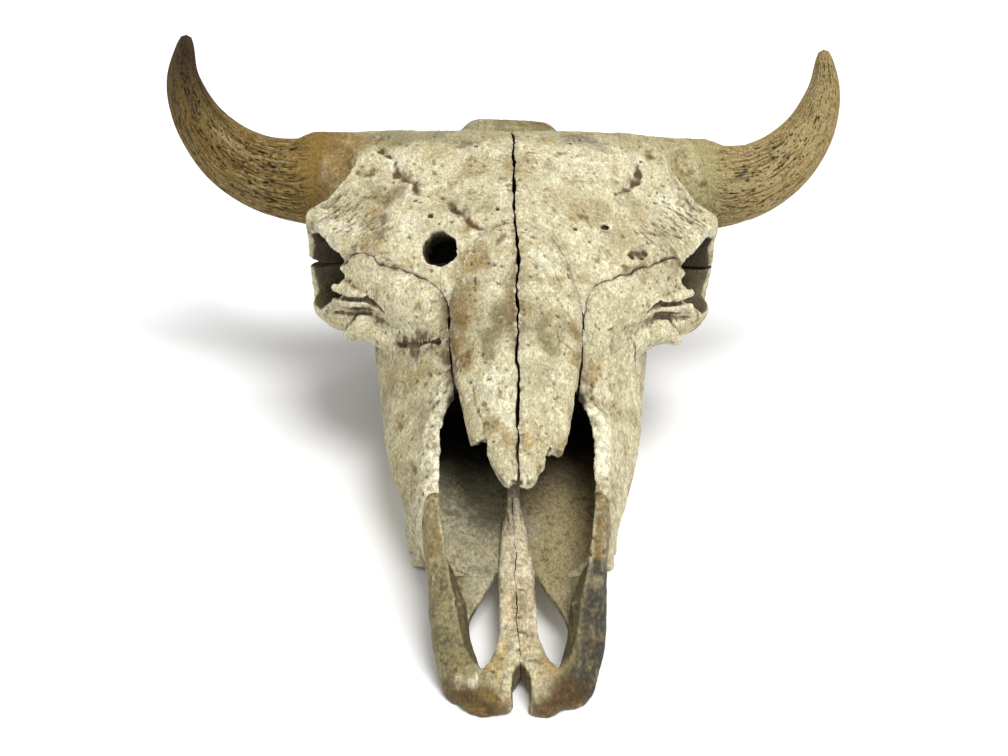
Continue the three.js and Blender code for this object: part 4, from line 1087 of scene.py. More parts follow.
# Stains of the face: place, reach, colour and strength
FACE_STAINS = [
    (-84, 275, 122, 11, BROWN, 0.95), (-70, 257, 131, 12, BROWN, 0.9), (-56, 243, 140, 10, BROWN, 0.85),
    (-77, 266, 126, 8, BROWN, 0.8), (-48, 226, 135, 8, BROWN, 0.8), (70, 257, 132, 6, BROWN, 0.7),
    (82, 262, 128, 6, BROWN, 0.7), (-92, 268, 98, 24, TAN, 0.8), (-84, 240, 112, 16, GOLD, 0.5),
    (-64, 232, 122, 12, TAN, 0.7), (-80, 200, 52, 26, TAN, 0.6), (-76, 170, 40, 22, OLIVE, 0.7),
    (-92, 250, 66, 24, OLIVE, 0.5), (58, 232, 124, 14, TAN, 0.6), (88, 262, 96, 24, CREAM, 0.7),
    (-55, 110, 56, 20, GOLD, 0.7), (52, 120, 66, 20, GOLD, 0.8), (-51, 130, 74, 18, GOLD, 0.6),
    (51, 142, 80, 18, GOLD, 0.7), (-63, 250, 134, 11, BROWN, 0.8), (-74, 262, 126, 12, BROWN, 0.7),
    (50, 96, 54, 18, GOLD, 0.8), (43, 60, 34, 14, GOLD, 0.8), (54, 64, 34, 24, SLATE, 0.95),
    (50, 44, 20, 22, SLATE, 0.95), (42, 24, 10, 19, SLATE, 0.95), (58, 88, 46, 18, SLATE, 0.9),
    (62, 108, 50, 14, SLATE, 0.7), (22, 11, 7, 19, OCHRE, 1.0), (32, 16, 9, 15, BROWN, 0.9),
    (24, 18, 10, 20, BROWN, 0.55), (-32, 16, 8, 20, BROWN, 0.4), (-26, 10, 6, 24, OCHRE, 1.0),
    (-44, 20, 8, 16, BROWN, 0.7), (-20, 6, 4, 10, BROWN, 0.7), (-48, 44, 24, 18, OLIVE, 0.8),
    (-52, 72, 38, 24, OLIVE, 0.8), (-34, 27, 16, 9, WHITE, 0.8), (-18, 38, 18, 13, TAN, 0.8),
    (18, 36, 18, 14, TAN, 0.8), (12, 62, 22, 10, TAN, 0.5), (-12, 50, 20, 11, TAN, 0.6),
    (0, 86, 28, 12, TAN, 0.4),
]


def mixed(colour, other, share):
    share = np.clip(share, 0, 1)[:, None]
    return colour * (1 - share) + other * share


def ramp(v, low, high):
    t = np.clip((v - low) / (high - low), 0, 1)
    return t * t * (3 - 2 * t)


def stains():
    """Every stain with its place in space."""
    return [(*on_roof(x, y), *rest) for x, y, *rest in ROOF_STAINS] + FACE_STAINS


CLOUD_GAIN = 2.2
REAR_BONES = ("exoccipital", "temporal", "sphenoid", "palatine", "parietal")
MAXILLA_DULL = 0.3
CRUMBS = {"premaxilla": 2.6, "maxilla": 1.9}
FEW_CRUMBS = 1.4


class Coat:
    """Colour of a bone's points while it is mixed, with the clouds of noise that its tones share."""

    def __init__(self, name, p, n, noise):
        self.name, self.p, self.n, self.noise = name, p, n, noise
        self.x, self.y, self.z = p.T
        self.u = np.abs(self.x)
        self.broad = self.cloud(0, 0, 0, 48)
        self.middle = self.cloud(90, 0, 0, 17)
        self.fine = self.cloud(0, 70, 0, 6)
        self.speck = 1.5 * noise(self.x * 1.2, self.y + 30, self.z, 2.2)
        self.grain = CLOUD_GAIN * noise.layered(self.x * 1.8, self.y * 0.35, self.z * 0.8, 4)
        self.colour = np.tile(CREAM, (len(p), 1))

    def cloud(self, dx, dy, dz, size):
        return CLOUD_GAIN * self.noise.layered(self.x + dx, self.y + dy, self.z + dz, size)

    def mix(self, tone, share):
        self.colour = mixed(self.colour, tone, share)


def own_tones(c):
    """The bone's own tones, and the horn's colour where it spreads over the neck."""
    c.mix(IVORY, 0.4 + 0.5 * c.broad + 0.35 * c.middle)
    c.mix(WHITE, ramp(0.6 * c.middle + 0.6 * c.fine - 0.3 * c.broad, 0.1, 1.0) * 0.8)
    c.mix(TAN, ramp(c.middle + 0.5 * c.grain - 0.4 * c.broad, 0.3, 1.2) * 0.7)
    c.mix(OLIVE, ramp(c.cloud(-50, 0, 30, 34) + 0.5 * c.fine, 0.5, 1.4) * 0.5)
    if c.name == "maxilla":
        c.mix(KHAKI, ramp(130 - c.z + 22 * c.middle, 0, 90) * MAXILLA_DULL)
        c.mix(OLIVE, ramp(c.grain + 0.6 * c.middle, 0.0, 1.1) * MAXILLA_DULL * 0.5)
        rough_rim = opening_edge(c.u, c.y, c.z)
        c.mix(WHITE, rough_rim * (0.55 + 0.5 * c.fine))
        c.mix(BROWN, rough_rim * ramp(-c.fine - 0.5 * c.speck, 0.5, 1.1) * 0.7)
    elif c.name in REAR_BONES:
        c.mix(KHAKI * 0.85, 0.8 + 0.3 * c.broad)
        c.mix(OLIVE * 0.85, ramp(c.middle, -0.5, 0.7) * 0.7)
    elif c.name == "frontal":
        c.mix(KHAKI, ramp(c.y + 14 * c.middle, 402, 440) * 0.7)
    elif c.name == "premaxilla":
        c.mix(KHAKI * 0.85, ramp(c.u, 20, 32) * (0.85 + 0.3 * c.grain))
        c.mix(PINK, ramp(17 - c.u, 0, 4) * ramp(c.y, 40, 70) * 0.6)
    by_root = ramp(horn_root_side(c.u, c.y), -16, -3)
    neck = ramp(c.u + 4 * c.fine + 7 * c.middle, 110, 142) * ramp(c.y + 5 * c.fine, 396, 414)
    neck = neck * np.maximum(0.85 + 0.2 * c.middle, by_root)
    c.mix(np.where(c.x[:, None] < 0, NECKS["right"], NECKS["left"]), neck)


def spread_stains(c):
    """The stains of roof and face with ragged edges, and flakes where the surface has peeled."""
    ragged = 0.1 * c.middle + 0.24 * c.fine + 0.26 * c.grain + 0.1 * c.speck
    wx, wy, wz = (v + 5 * c.cloud(40 * a, 13 * a, -27 * a, 13) for a, v in enumerate((c.x, c.y, c.z), 1))
    for px, py, pz, reach, stain, share in stains():
        away = np.sqrt((wx - px) ** 2 + (wy - py) ** 2 + (wz - pz) ** 2) / reach
        near = away < 1.6
        if near.any():
            mask = np.zeros(len(away))
            mask[near] = ramp(1.15 * (1.05 - away[near]) + 0.8 * ragged[near], -0.05, 0.85)
            c.mix(stain, mask * share)
    peel = c.cloud(11, -40, 7, 12) + 0.5 * c.fine + 0.3 * c.speck
    c.mix(GOLD, ramp(peel, 0.85, 1.15) * np.where((c.x > 0) & (c.y < 100), 0.25, 0.55))
    c.mix(BROWN, ramp(peel, 1.2, 1.6) * 0.7)


def suture_tones(c, seam):
    """Dirt along the sutures, most of it on the roof, and painted shade beside the nasals, stronger on the
    animal's right.
    """
    upper = np.maximum(0.25 + 0.75 * ramp(c.z, 145, 170), 1.0 if c.name == "nasal" else 0)
    # Painted shade beside the nasals: brown fading away from the suture, strongest on the animal's right
    if c.name in ("nasal", "maxilla", "lacrimal"):
        flank = ramp(284 - c.y, 0, 12) * ramp(c.y, 200, 214) * np.where(c.x < 0, 0.95, 0.4)
        flank = flank * ramp(60 - c.u, 0, 8)
        c.mix(BROWN, np.exp(-seam / (5 + 2 * c.middle)) * flank)
    c.mix(GOLD, np.exp(-seam / 6) * ramp(c.middle + 0.4 * c.fine, -0.1, 0.8) * 0.5 * upper)
    c.mix(BROWN, np.exp(-seam / 1.4) * (0.45 + 0.3 * c.fine) * upper)


def wear_and_shade(c, off_root, bulge, hollow, depth):
    """Ridges rubbed pale with a painted highlight, dirt and painted shade in creases and cuts, painted shade
    in hollows, and fine crumbs of tone over all of it.
    """
    pale = off_root
    if c.name == "premaxilla":
        pale = off_root * ramp(c.y, 40, 60)
        # Painted shade on the inner faces of the muzzle rods
        inner_face_shade = ramp(-c.n[:, 0] * np.sign(c.x), 0.25, 0.7) * ramp(c.u, 22, 28) * ramp(c.y, 30, 40)
        c.mix(SHADED_OLIVE, inner_face_shade * 0.85)
    # Dirt and painted shade in creases
    c.mix(BROWN, ramp(-bulge, 0.03, 0.22) * 0.85 * off_root)
    c.mix(BROWN, brow_dashes(c.p, c.noise) * 0.4)
    # Ridges rubbed pale, partly a painted highlight
    c.mix(WHITE, ramp(bulge, 0.05, 0.3) * 0.55 * pale)
    # Painted shade where other bone closes in over the surface
    c.mix(BROWN, ramp(hollow, 0.35, 0.95) * 0.75)
    # Dirt and painted shade where the surface is cut below the smooth skull
    c.mix(BROWN, ramp(depth, 0.8, 2.8) * 0.8)
    crumbs = CRUMBS.get(c.name, FEW_CRUMBS)
    c.colour = c.colour * np.exp(crumbs * (0.07 * c.fine + 0.07 * c.speck + 0.08 * c.grain))[:, None]
    if c.name == "premaxilla":
        c.mix(c.colour * AGED, ramp(c.u, 12, 22))
    if c.name == "parietal":
        c.colour = c.colour * AGED


def cavity_tones_and_shade(c):
    """The inside of the nose: ashen, browner on the left, and painted shade that goes dark towards its depth.
    """
    inner = ramp(face_reach(c.y, c.z) - c.u, 2.5, 7) * ramp(c.y, 70, 120) * ramp(300 - c.y, 0, 6)
    inner = inner * ramp(roof_top(c.u, c.y) - c.z, 3, 7) * (c.z > floor_level(c.y) - 3)
    inner = inner * (ramp(c.u, 13, 17) if c.name == "premaxilla" else 1.0)
    c.mix(ASH * (1 + 0.25 * c.middle + 0.2 * c.fine)[:, None], inner * 0.9)
    c.mix(TAN * 0.75, inner * ramp(c.x + 16 * c.middle, -4, 20) * 0.65)
    c.mix(WHITE, inner * ramp(-c.x + 20 * c.middle, 6, 26) * ramp(c.speck + c.fine, 0.3, 1.0) * 0.55)
    c.mix(BROWN, inner * ramp(0.6 * c.middle + c.fine + c.speck, 0.6, 1.4) * 0.6)
    # Painted shade: near black towards the back of the nose
    c.mix(DARK, inner * ramp(c.y + 0.5 * c.z + 8 * c.middle, 200, 270) * 0.97)


def socket_shade(c):
    """Painted shade inside the eye socket and on the bar behind it."""
    to_eye = np.array(EYE_CENTRE) - np.stack([c.u, c.y, c.z], 1)
    reach = np.linalg.norm(to_eye, axis=1)
    flipped = c.n * np.where(c.x < 0, -1, 1)[:, None] * (1, 0, 0) + c.n * (0, 1, 1)
    socket = ramp((flipped * to_eye).sum(1) / (reach + 1e-6), 0.1, 0.5) * ramp(74 - reach, 0, 14)
    socket = np.maximum(socket, ramp(-eye_hollow(c.u, c.y, c.z), -2.5, 1.0))
    # Painted shade: olive below the notch, umber above it, and umber deeper in towards the middle
    bar_shade = np.where((c.z < EYE_NOTCH)[:, None], SHADED_OLIVE, UMBER) * (1 + 0.35 * c.middle)[:, None]
    c.mix(bar_shade, socket * 0.95)
    c.mix(UMBER, socket * ramp(132 - c.u, 0, 12))


def bone_paint(name, p, n, bulge, seam, hollow, depth, noise):
    """Colour of each point of a bone, from where it lies, which way it faces and how it is shaped."""
    c = Coat(name, p, n, noise)
    off_root = ramp(-horn_root_side(c.u, c.y), 6, 18)
    depth = depth * off_root * (ramp(c.y, 46, 54) if name == "premaxilla" else 1)
    own_tones(c)
    spread_stains(c)
    suture_tones(c, seam)
    wear_and_shade(c, off_root, bulge, hollow, depth)
    cavity_tones_and_shade(c)
    socket_shade(c)
    # Painted shade: near black deep in cuts and holes
    c.mix(DARK, ramp(depth, 3.5, 9) * 0.97)
    return c.colour


SHARP_EDGE = math.radians(55)


def mesh_piece(name, points, faces, colours, material, nodes, brow=None):
    """A finished object in the shared frame that stands for CAD nodes."""
    mesh = bpy.data.meshes.new(name)
    corners = np.asarray(faces, np.int32)
    mesh.vertices.add(len(points))
    mesh.vertices.foreach_set("co", (points * MM).astype(np.float32).ravel())
    mesh.loops.add(corners.size)
    mesh.loops.foreach_set("vertex_index", corners.ravel())
    mesh.polygons.add(len(corners))
    mesh.polygons.foreach_set("loop_start", np.arange(0, corners.size, corners.shape[1], dtype=np.int32))
    mesh.polygons.foreach_set("use_smooth", np.ones(len(corners), bool))
    paint = mesh.attributes.new("paint", "FLOAT_COLOR", "POINT")
    rgba = np.concatenate([colours, np.ones((len(points), 1))], 1).astype(np.float32)
    paint.data.foreach_set("color", rgba.ravel())
    if brow is not None:
        mesh.attributes.new("brow", "FLOAT", "POINT").data.foreach_set("value", brow.astype(np.float32))
    mesh.update(calc_edges=True)
    mesh.validate()
    mesh.set_sharp_from_angle(angle=SHARP_EDGE)
    mesh.materials.append(material)
    piece = bpy.data.objects.new(name, mesh)
    bpy.context.scene.collection.objects.link(piece)
    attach(piece, "root")
    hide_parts(*nodes)
    return piece


FRONTAL_END = 496.7  # where the frontals end in the skull's own axes


def frame_shift():
    """From the skull's own axes to the shared frame, in millimetres, read off the CAD solids."""
    inner = (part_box("nasal_left")[0].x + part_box("nasal_right")[1].x) / 2
    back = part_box("frontal_left")[1].y
    return np.array((inner / MM, back / MM - FRONTAL_END, 0.0))


_sampled = {}


def sampled_skull():
    if "skull" not in _sampled:
        _sampled["skull"] = Skull()
    return _sampled["skull"]


# Way across the brow's edge over the eye, and where that edge starts
BROW_ACROSS = 0.868
BROW_ALONG = 0.496
BROW_START = 49.5


def opening_edge(u, y, z):
    """Where the rough edge of the nose opening lies."""
    level = ramp(z - opening_rim(y), -9, -3) * ramp(u - upper_reach(y), -15, -9)
    return level * ramp(y, 112, 150) * ramp(228 - y, 0, 14)


def brow_place(p):
    """How near the brow's edge over the eye each point lies, and how far in from it."""
    x, y, z = p.T
    inward = -BROW_START - BROW_ACROSS * np.abs(x) + BROW_ALONG * y
    level = ramp(y, 314, 326) * ramp(398 - y, 0, 8) * ramp(z, 158, 168)
    return ramp(inward, 0, 4) * ramp(46 - inward, 0, 26) * level, inward


def brow_dashes(p, noise):
    """Short furrows that run to the brow's edge over the eye."""
    x, y, z = p.T
    along = BROW_ALONG * np.abs(x) + BROW_ACROSS * y + 70 * np.sign(x)
    place, inward = brow_place(p)
    return place * ramp(noise(inward / 6, along / 2.2, np.float32(4.4), 1.0), 0.15, 0.5)


def surface_lift(p, noise):
    """Uneven bone: swells, grain, and furrows that run to the brow's edge over the eye."""
    x, y, z = p.T
    u = np.abs(x)
    lift = 1.2 * noise.layered(x, y, z, 16) + 0.9 * noise.layered(x * 2, y * 0.7, z * 2, 6)
    lift = lift - 1.7 * brow_dashes(p, noise)
    lift = lift + opening_edge(u, y, z) * (1.7 * noise(x, y, z, 3.0) + 1.4 * noise(x, y + 50, z, 9))
    pit = noise(x + 40, y, z, 3.2)
    return lift - 1.3 * ramp(pit, 0.5, 0.85)


FOOT_HEIGHT = 3
STRAY_SIZE = 55
HOLLOW_REACH = 9
BULGE_REACH = 3.5


def off_floor(z):
    """0 where a bone stands on the floor, 1 above its foot."""
    return np.clip(z / FOOT_HEIGHT, 0, 1)


def strayed(p, settings, noise):
    """Shifts points a little, differently on each side of the head, but not where they stand on the floor."""
    x, y, z = p.T
    drift = [noise(x + 100 * a, y - 60 * a, z + 31 * a, STRAY_SIZE) for a in range(3)]
    return p + settings.asymmetry / MM * np.stack(drift, 1) * off_floor(z)[:, None]


def build_bone(name, side_name, settings):
    """One bone as a finished piece."""
    skull = sampled_skull()
    side = SIDES.get(side_name, 0)
    noise = skull.noise
    p, quads, seam = skull.bone(name, side, settings)
    n = normals_of(p, quads)
    lift = settings.roughness / MM * surface_lift(p, noise) * np.clip(seam / 1.5, 0.15, 1)
    p = strayed(p + n * (lift * off_floor(p[:, 2]))[:, None], settings, noise)
    # How closed in each point is and how deep it lies below the smooth skull; both set painted shade
    hollow = 1 - skull.field_at(p + HOLLOW_REACH * n) / HOLLOW_REACH
    depth = -skull.field_at(p)
    rounds = max(2, round(BULGE_REACH / STEPS[name]))
    n = normals_of(p, quads)
    colours = bone_paint(name, p, n, bulge_of(p, quads, n, rounds), seam, hollow, depth, noise)
    label = f"{name}_{side_name}" if side else name
    brow = brow_place(p)[0] if name == "frontal" else None
    p = p + frame_shift()
    return mesh_piece(f"bone_{label}", p, quads, colours, bone_material(), [label], brow)


# Horn cores
HORN_PATH = [
    HORN_ROOT, (180, 462, 181.5), (212, 475, 184), (244, 493, 198), (264, 507, 219), (275, 521.5, 247),
    (273.5, 537, 280.5),
]
horn_radius = through(
    (0, 36.5), (0.055, 37), (0.12, 34.8), (0.235, 32.4), (0.38, 29.2), (0.5, 26), (0.616, 22), (0.787, 15.8),
    (0.86, 12.5), (0.92, 9.6), (0.97, 7), (1, 4.5),
)
HORN_SPREADS = {"left": 0.965, "right": 1.035}
HORN_LENGTHS = {"left": 0.985, "right": 1.0}
HORN_SINK = 1.3  # how far the first ring is sunk into the neck
HORN_TURN = 0.05  # share of the rings that turn from the root's plane into the line
NECK_RADII = np.linspace(22, 48, 105)  # radii tried for the neck
root_share = through((0, 1), (0.03, 0.8), (0.13, 0))


def flowing(at, stations, t):
    """A curve through stations whose bends run on smoothly from one to the next."""
    span = np.diff(at)[:, None]
    slope = np.diff(stations, axis=0) / span
    middle = (slope[:-1] * span[1:] + slope[1:] * span[:-1]) / (span[1:] + span[:-1])
    tangent = np.concatenate([slope[:1], middle, slope[-1:]])
    i = np.clip(np.searchsorted(at, t, side="right") - 1, 0, len(at) - 2)
    q = ((t - at[i]) / span[i, 0])[:, None]
    r = 1 - q
    start = stations[i] * r * r * (1 + 2 * q) + tangent[i] * span[i] * q * r * r
    return start + stations[i + 1] * q * q * (3 - 2 * q) - tangent[i + 1] * span[i] * q * q * r


def neck_radii(centre, flank, rise, angle):
    """Radius of the frontal's neck in each direction, so that the core goes on from it without a step."""
    radii = NECK_RADII
    ways = flank * np.cos(angle)[:, None] + rise * np.sin(angle)[:, None]
    spots = (centre + ways[:, None] * radii[:, None]).reshape(-1, 3).astype(np.float32)
    outside = skull_field(*spots.T).reshape(len(angle), -1) > 0
    return radii[np.where(outside.any(1), outside.argmax(1), len(radii) - 1)]


def horn_line(side_name, rings):
    """Centres of a horn core's rings, their axes, their place on the line and to the tip, and its length."""
    spread, reach = HORN_SPREADS[side_name], HORN_LENGTHS[side_name]
    stations = np.array([(HORN_ROOT[0] + (x - HORN_ROOT[0]) * spread, y, z) for x, y, z in HORN_PATH])
    chord = np.concatenate(([0], np.cumsum(np.linalg.norm(np.diff(stations, axis=0), axis=1))))
    t = np.linspace(0, 1, rings) * reach
    centre = flowing(chord / chord[-1], stations, t)
    along = np.gradient(centre, axis=0)
    root = np.array((1, HORN_ROOT_SLANT, 0))
    root = root / np.linalg.norm(root)
    blend = np.clip(1 - np.arange(rings) / (HORN_TURN * rings), 0, 1)[:, None]
    along = along / np.linalg.norm(along, axis=1, keepdims=True) * (1 - blend) + root * blend
    along /= np.linalg.norm(along, axis=1, keepdims=True)
    centre[0] -= root * HORN_SINK
    flank = np.cross(np.array((0.0, 1.0, 0.0)), along)
    flank /= np.linalg.norm(flank, axis=1, keepdims=True)
    return centre, (along, flank, np.cross(along, flank)), t, t / reach, chord[-1]


def horn_grain(noise, side, angle, share, length):
    """Patterns over a horn core: its relief first, then those of its colour only."""
    ax = np.cos(angle)[None] * 9 + 20 * side + 0 * length
    ay = np.sin(angle)[None] * 9 + 0 * length
    sway = 0.5 * noise(ax / 3, ay / 3, length / 20, 1.0)
    dash = ramp(noise.layered(ax * 1.3 + sway, ay * 1.3 - sway, length / 10 + 40, 0.42, 2), 0.22, 0.6)
    stria = 1 - 4.5 * np.abs(noise(ax + sway, ay - sway, length / 46, 0.6))
    stria = np.clip(stria, 0, 1) * ramp(0.62 - share[:, None] + 0.5 * noise(ax, ay, length / 14, 2), 0, 0.3)
    return {
        "groove": np.maximum(dash, 0.8 * stria),
        "ridge": 2.0 * noise.layered(ax, ay, length / 30, 3.5),
        "pore": noise(ax * 2.4, ay * 2.4, length / 5 + 9, 1),
        "burr": np.exp(-((length - 9) / 7) ** 2) * (0.5 + 1.6 * noise.layered(ax, ay, length / 6, 2)),
        "streak": 2.0 * noise.layered(ax * 2, ay * 2, length / 30, 1.0),
        "dark": share[:, None] + 0.3 * noise.layered(ax, ay, length / 60, 5),
        "fleck": noise.layered(ax * 1.7 + 9, ay * 1.7, length / 9, 0.7, 2),
    }


def horn_paint(side_name, grain, length, fade):
    """Colour of a horn core's points: the right core goes to umber at its tip, the left one stays tan."""
    right = side_name == "right"
    ridge, streak, dark = grain["ridge"], grain["streak"], grain["dark"]
    colour = np.tile(OCHRE if right else TAN, (length.size, 1))
    for tone, share in (
        (KHAKI, 0.1 + 0.4 * ridge + 0.3 * streak),
        (GOLD, ramp(streak - 0.4 * ridge, 0.2, 0.9) * 0.6),
        (UMBER, ramp(dark, 0.4, 0.95) * (0.92 if right else 0.12)),
        (IVORY, ramp(grain["fleck"], 0.1, 0.6) * (1 - ramp(dark, 0.3, 0.6) * right) * 0.6),
        (UMBER, grain["groove"] * fade * 0.85),
        (UMBER, ramp(-streak, 0.5, 1.2) * 0.45),
        (DARK, ramp(grain["pore"], 0.45, 0.7) * 0.8),
        (NECKS[side_name], np.exp(-((length / 16) ** 2))),
    ):
        colour = mixed(colour, tone, share.ravel())
    return colour


def ring_faces(rings, around, flipped):
    """Triangles of a tube of rings that closes on the two points after the last ring."""
    i, j = np.meshgrid(np.arange(rings - 1), np.arange(around), indexing="ij")
    a, b = i * around + j, i * around + (j + 1) % around
    quads = np.stack([a, b, b + around, a + around], -1).reshape(-1, 4)
    end = rings * around
    last = end - around
    cap = [(end, (k + 1) % around, k) for k in range(around)]
    cap += [(end + 1, last + k, last + (k + 1) % around) for k in range(around)]
    if flipped:
        quads = quads[:, ::-1]
        cap = [face[::-1] for face in cap]
    return np.concatenate([quads[:, [0, 1, 2]], quads[:, [0, 2, 3]], np.array(cap)])


def build_horn(side_name, settings):
    """One horn core, ring by ring from its root to the tip, as a finished piece."""
    side = SIDES[side_name]
    noise = sampled_skull().noise
    rings, around = settings.rings, settings.around
    centre, (along, flank, rise), t, share, whole = horn_line(side_name, rings)
    angle = np.linspace(0, 2 * math.pi, around, endpoint=False)
    neck = neck_radii(np.array(HORN_ROOT, float), flank[0], rise[0], angle)[None]
    radius = horn_radius(share).astype(float)[:, None]
    radius = radius + root_share(t)[:, None] * (neck - radius)
    length = np.broadcast_to((share * whole)[:, None], (rings, around))
    grain = horn_grain(noise, side, angle, share, length)
    fade = np.clip(length / 12, 0, 1) * np.clip((1.0 - share[:, None]) * 14, 0.15, 1)
    lift = 0.5 * grain["ridge"] - 1.3 * grain["groove"] - 1.1 * ramp(grain["pore"], 0.5, 0.8)
    ring = radius + settings.groove_depth / MM * fade * (lift + 1.1 * grain["burr"])
    p = centre[:, None] + flank[:, None] * (ring * np.cos(angle))[..., None]
    p = (p + rise[:, None] * (ring * np.sin(angle))[..., None]).reshape(-1, 3)
    p = np.concatenate([p, centre[:1], centre[-1:] + along[-1:] * radius[-1].mean() * 0.5])
    p[:, 0] *= side
    p = strayed(p, bpy.context.scene.skull_bones, noise) + frame_shift()
    colour = horn_paint(side_name, grain, length, fade)
    colour = np.concatenate([colour, colour[:1], colour[-1:]])
    faces = ring_faces(rings, around, side < 0)
    name = f"horn_core_{side_name}"
    return mesh_piece(f"bone_{name}", p, faces, colour, horn_material(), [name])


# Materials
def node_tree(name):
    material = bpy.data.materials.get(name)
    if material:
        return material, None
    material = bpy.data.materials.new(name)
    material.use_nodes = True
    return material, material.node_tree


def add(tree, kind, values=(), **settings):
    node = tree.nodes.new(kind)
    for key, value in settings.items():
        setattr(node, key, value)
    for key, value in dict(values).items():
        if hasattr(value, "is_output"):
            tree.links.new(value, node.inputs[key])
        else:
            node.inputs[key].default_value = value
    return node


def cloud(tree, place, scale, detail=2.0, roughness=0.5):
    values = {"Vector": place, "Scale": scale, "Detail": detail, "Roughness": roughness}
    return add(tree, "ShaderNodeTexNoise", values).outputs


def ranged(tree, value, low, high, least, most):
    """A value that goes from least to most while another goes from low to high."""
    values = {"Value": value, "From Min": low, "From Max": high, "To Min": least, "To Max": most}
    return add(tree, "ShaderNodeMapRange", values).outputs["Result"]


def maths(tree, operation, *values):
    return add(tree, "ShaderNodeMath", dict(enumerate(values)), operation=operation).outputs[0]


def vectors(tree, operation, *values):
    return add(tree, "ShaderNodeVectorMath", dict(enumerate(values)), operation=operation).outputs[0]


def scaled(tree, vector, by):
    return add(tree, "ShaderNodeVectorMath", {0: vector, "Scale": by}, operation="SCALE").outputs[0]


def dirtied(tree, colour, share):
    values = {0: share, 6: colour, 7: (*BROWN, 1.0)}
    return add(tree, "ShaderNodeMix", values, data_type="RGBA").outputs[2]


def crack_lines(tree, place, lengthwise, width):
    """A net of hairline cracks that opens in some places only."""
    shift = scaled(tree, cloud(tree, place, 60.0, 3.0)["Color"], 0.012)
    values = {"Vector": vectors(tree, "ADD", lengthwise, shift), "Scale": 75.0}
    net = add(tree, "ShaderNodeTexVoronoi", values, feature="DISTANCE_TO_EDGE").outputs["Distance"]
    open_to = ranged(tree, cloud(tree, place, 26.0)["Fac"], 0.56, 0.76, 0.0, width)
    return maths(tree, "LESS_THAN", net, open_to)


def small_pits(tree, place, grain, pits):
    """Scattered pits of differing size."""
    values = {"Vector": place, "Scale": pits, "Randomness": 1.0}
    holes = add(tree, "ShaderNodeTexVoronoi", values).outputs["Distance"]
    size = ranged(tree, cloud(tree, place, grain / 6)["Fac"], 0.52, 0.74, 0.0, 0.28)
    return maths(tree, "LESS_THAN", holes, size)


def brow_lines(tree, place):
    """Fine dashes that run to the brow's edge, on the bones that carry a brow."""
    turned = add(tree, "ShaderNodeMapping", {
        "Vector": vectors(tree, "ABSOLUTE", place),
        "Rotation": (0, 0, math.atan2(BROW_ALONG, -BROW_ACROSS)),
        "Scale": (4, 1, 1.5),
    }, vector_type="TEXTURE").outputs[0]
    deep = ranged(tree, cloud(tree, turned, 800.0)["Fac"], 0.56, 0.66, 0.0, 0.65)
    brow = add(tree, "ShaderNodeAttribute", attribute_name="brow").outputs["Fac"]
    return maths(tree, "MULTIPLY", deep, brow)


def painted(name, tint, grain, pits, roughness, cracks, gloss):
    """A dry bone finish: painted colour, mottled, cracked and pitted at a scale below the mesh."""
    material, tree = node_tree(name)
    if tree is None:
        return material
    shader = tree.nodes["Principled BSDF"]
    place = add(tree, "ShaderNodeTexCoord").outputs["Object"]
    lengthwise = add(tree, "ShaderNodeMapping", {"Vector": place, "Scale": (1.0, 0.3, 0.7)}).outputs[0]
    paint = add(tree, "ShaderNodeAttribute", attribute_name="paint").outputs["Color"]
    mottle = cloud(tree, place, grain, 6.0, 0.7)["Fac"]
    fibre = cloud(tree, lengthwise, 900.0, 3.0, 0.6)["Fac"]
    shade = ranged(tree, mottle, 0.3, 0.72, 0.64, 1.32)
    streak = ranged(tree, fibre, 0.34, 0.66, 0.72, 1.24)
    darker = maths(tree, "MULTIPLY_ADD", crack_lines(tree, place, lengthwise, cracks), -0.45, 1.0)
    tone = maths(tree, "MULTIPLY", maths(tree, "MULTIPLY", shade, streak), darker)
    colour = scaled(tree, vectors(tree, "MULTIPLY", paint, tuple(tint)), tone)
    pit = small_pits(tree, place, grain, pits)
    colour = dirtied(tree, colour, maths(tree, "MULTIPLY", pit, 0.7))
    colour = dirtied(tree, colour, brow_lines(tree, place))
    tree.links.new(colour, shader.inputs["Base Color"])
    height = maths(tree, "ADD", mottle, maths(tree, "MULTIPLY", pit, -0.5))
    bump = add(tree, "ShaderNodeBump", {"Height": height, "Strength": 0.8, "Distance": 0.0014})
    tree.links.new(bump.outputs[0], shader.inputs["Normal"])
    shader.inputs["Roughness"].default_value = roughness
    shader.inputs["Specular IOR Level"].default_value = gloss
    return material


def bone_material():
    tint = bpy.context.scene.skull_colours.bone_tint
    return painted("dry_bone", tint, grain=420.0, pits=420.0, roughness=0.66, cracks=0.022, gloss=0.3)


def horn_material():
    tint = bpy.context.scene.skull_colours.horn_tint
    return painted("horn_core_bone", tint, grain=520.0, pits=380.0, roughness=0.7, cracks=0.0, gloss=0.15)


def floor_material():
    material, tree = node_tree("pale_floor")
    if tree is not None:
        shader = tree.nodes["Principled BSDF"]
        place = add(tree, "ShaderNodeTexCoord").outputs["Object"]
        shade = ranged(tree, cloud(tree, place, 3.0)["Fac"], 0.0, 1.0, 0.99, 1.01)
        colour = scaled(tree, tuple(bpy.context.scene.skull_colours.floor), shade)
        tree.links.new(colour, shader.inputs["Base Color"])
        shader.inputs["Roughness"].default_value = 0.85
    return material


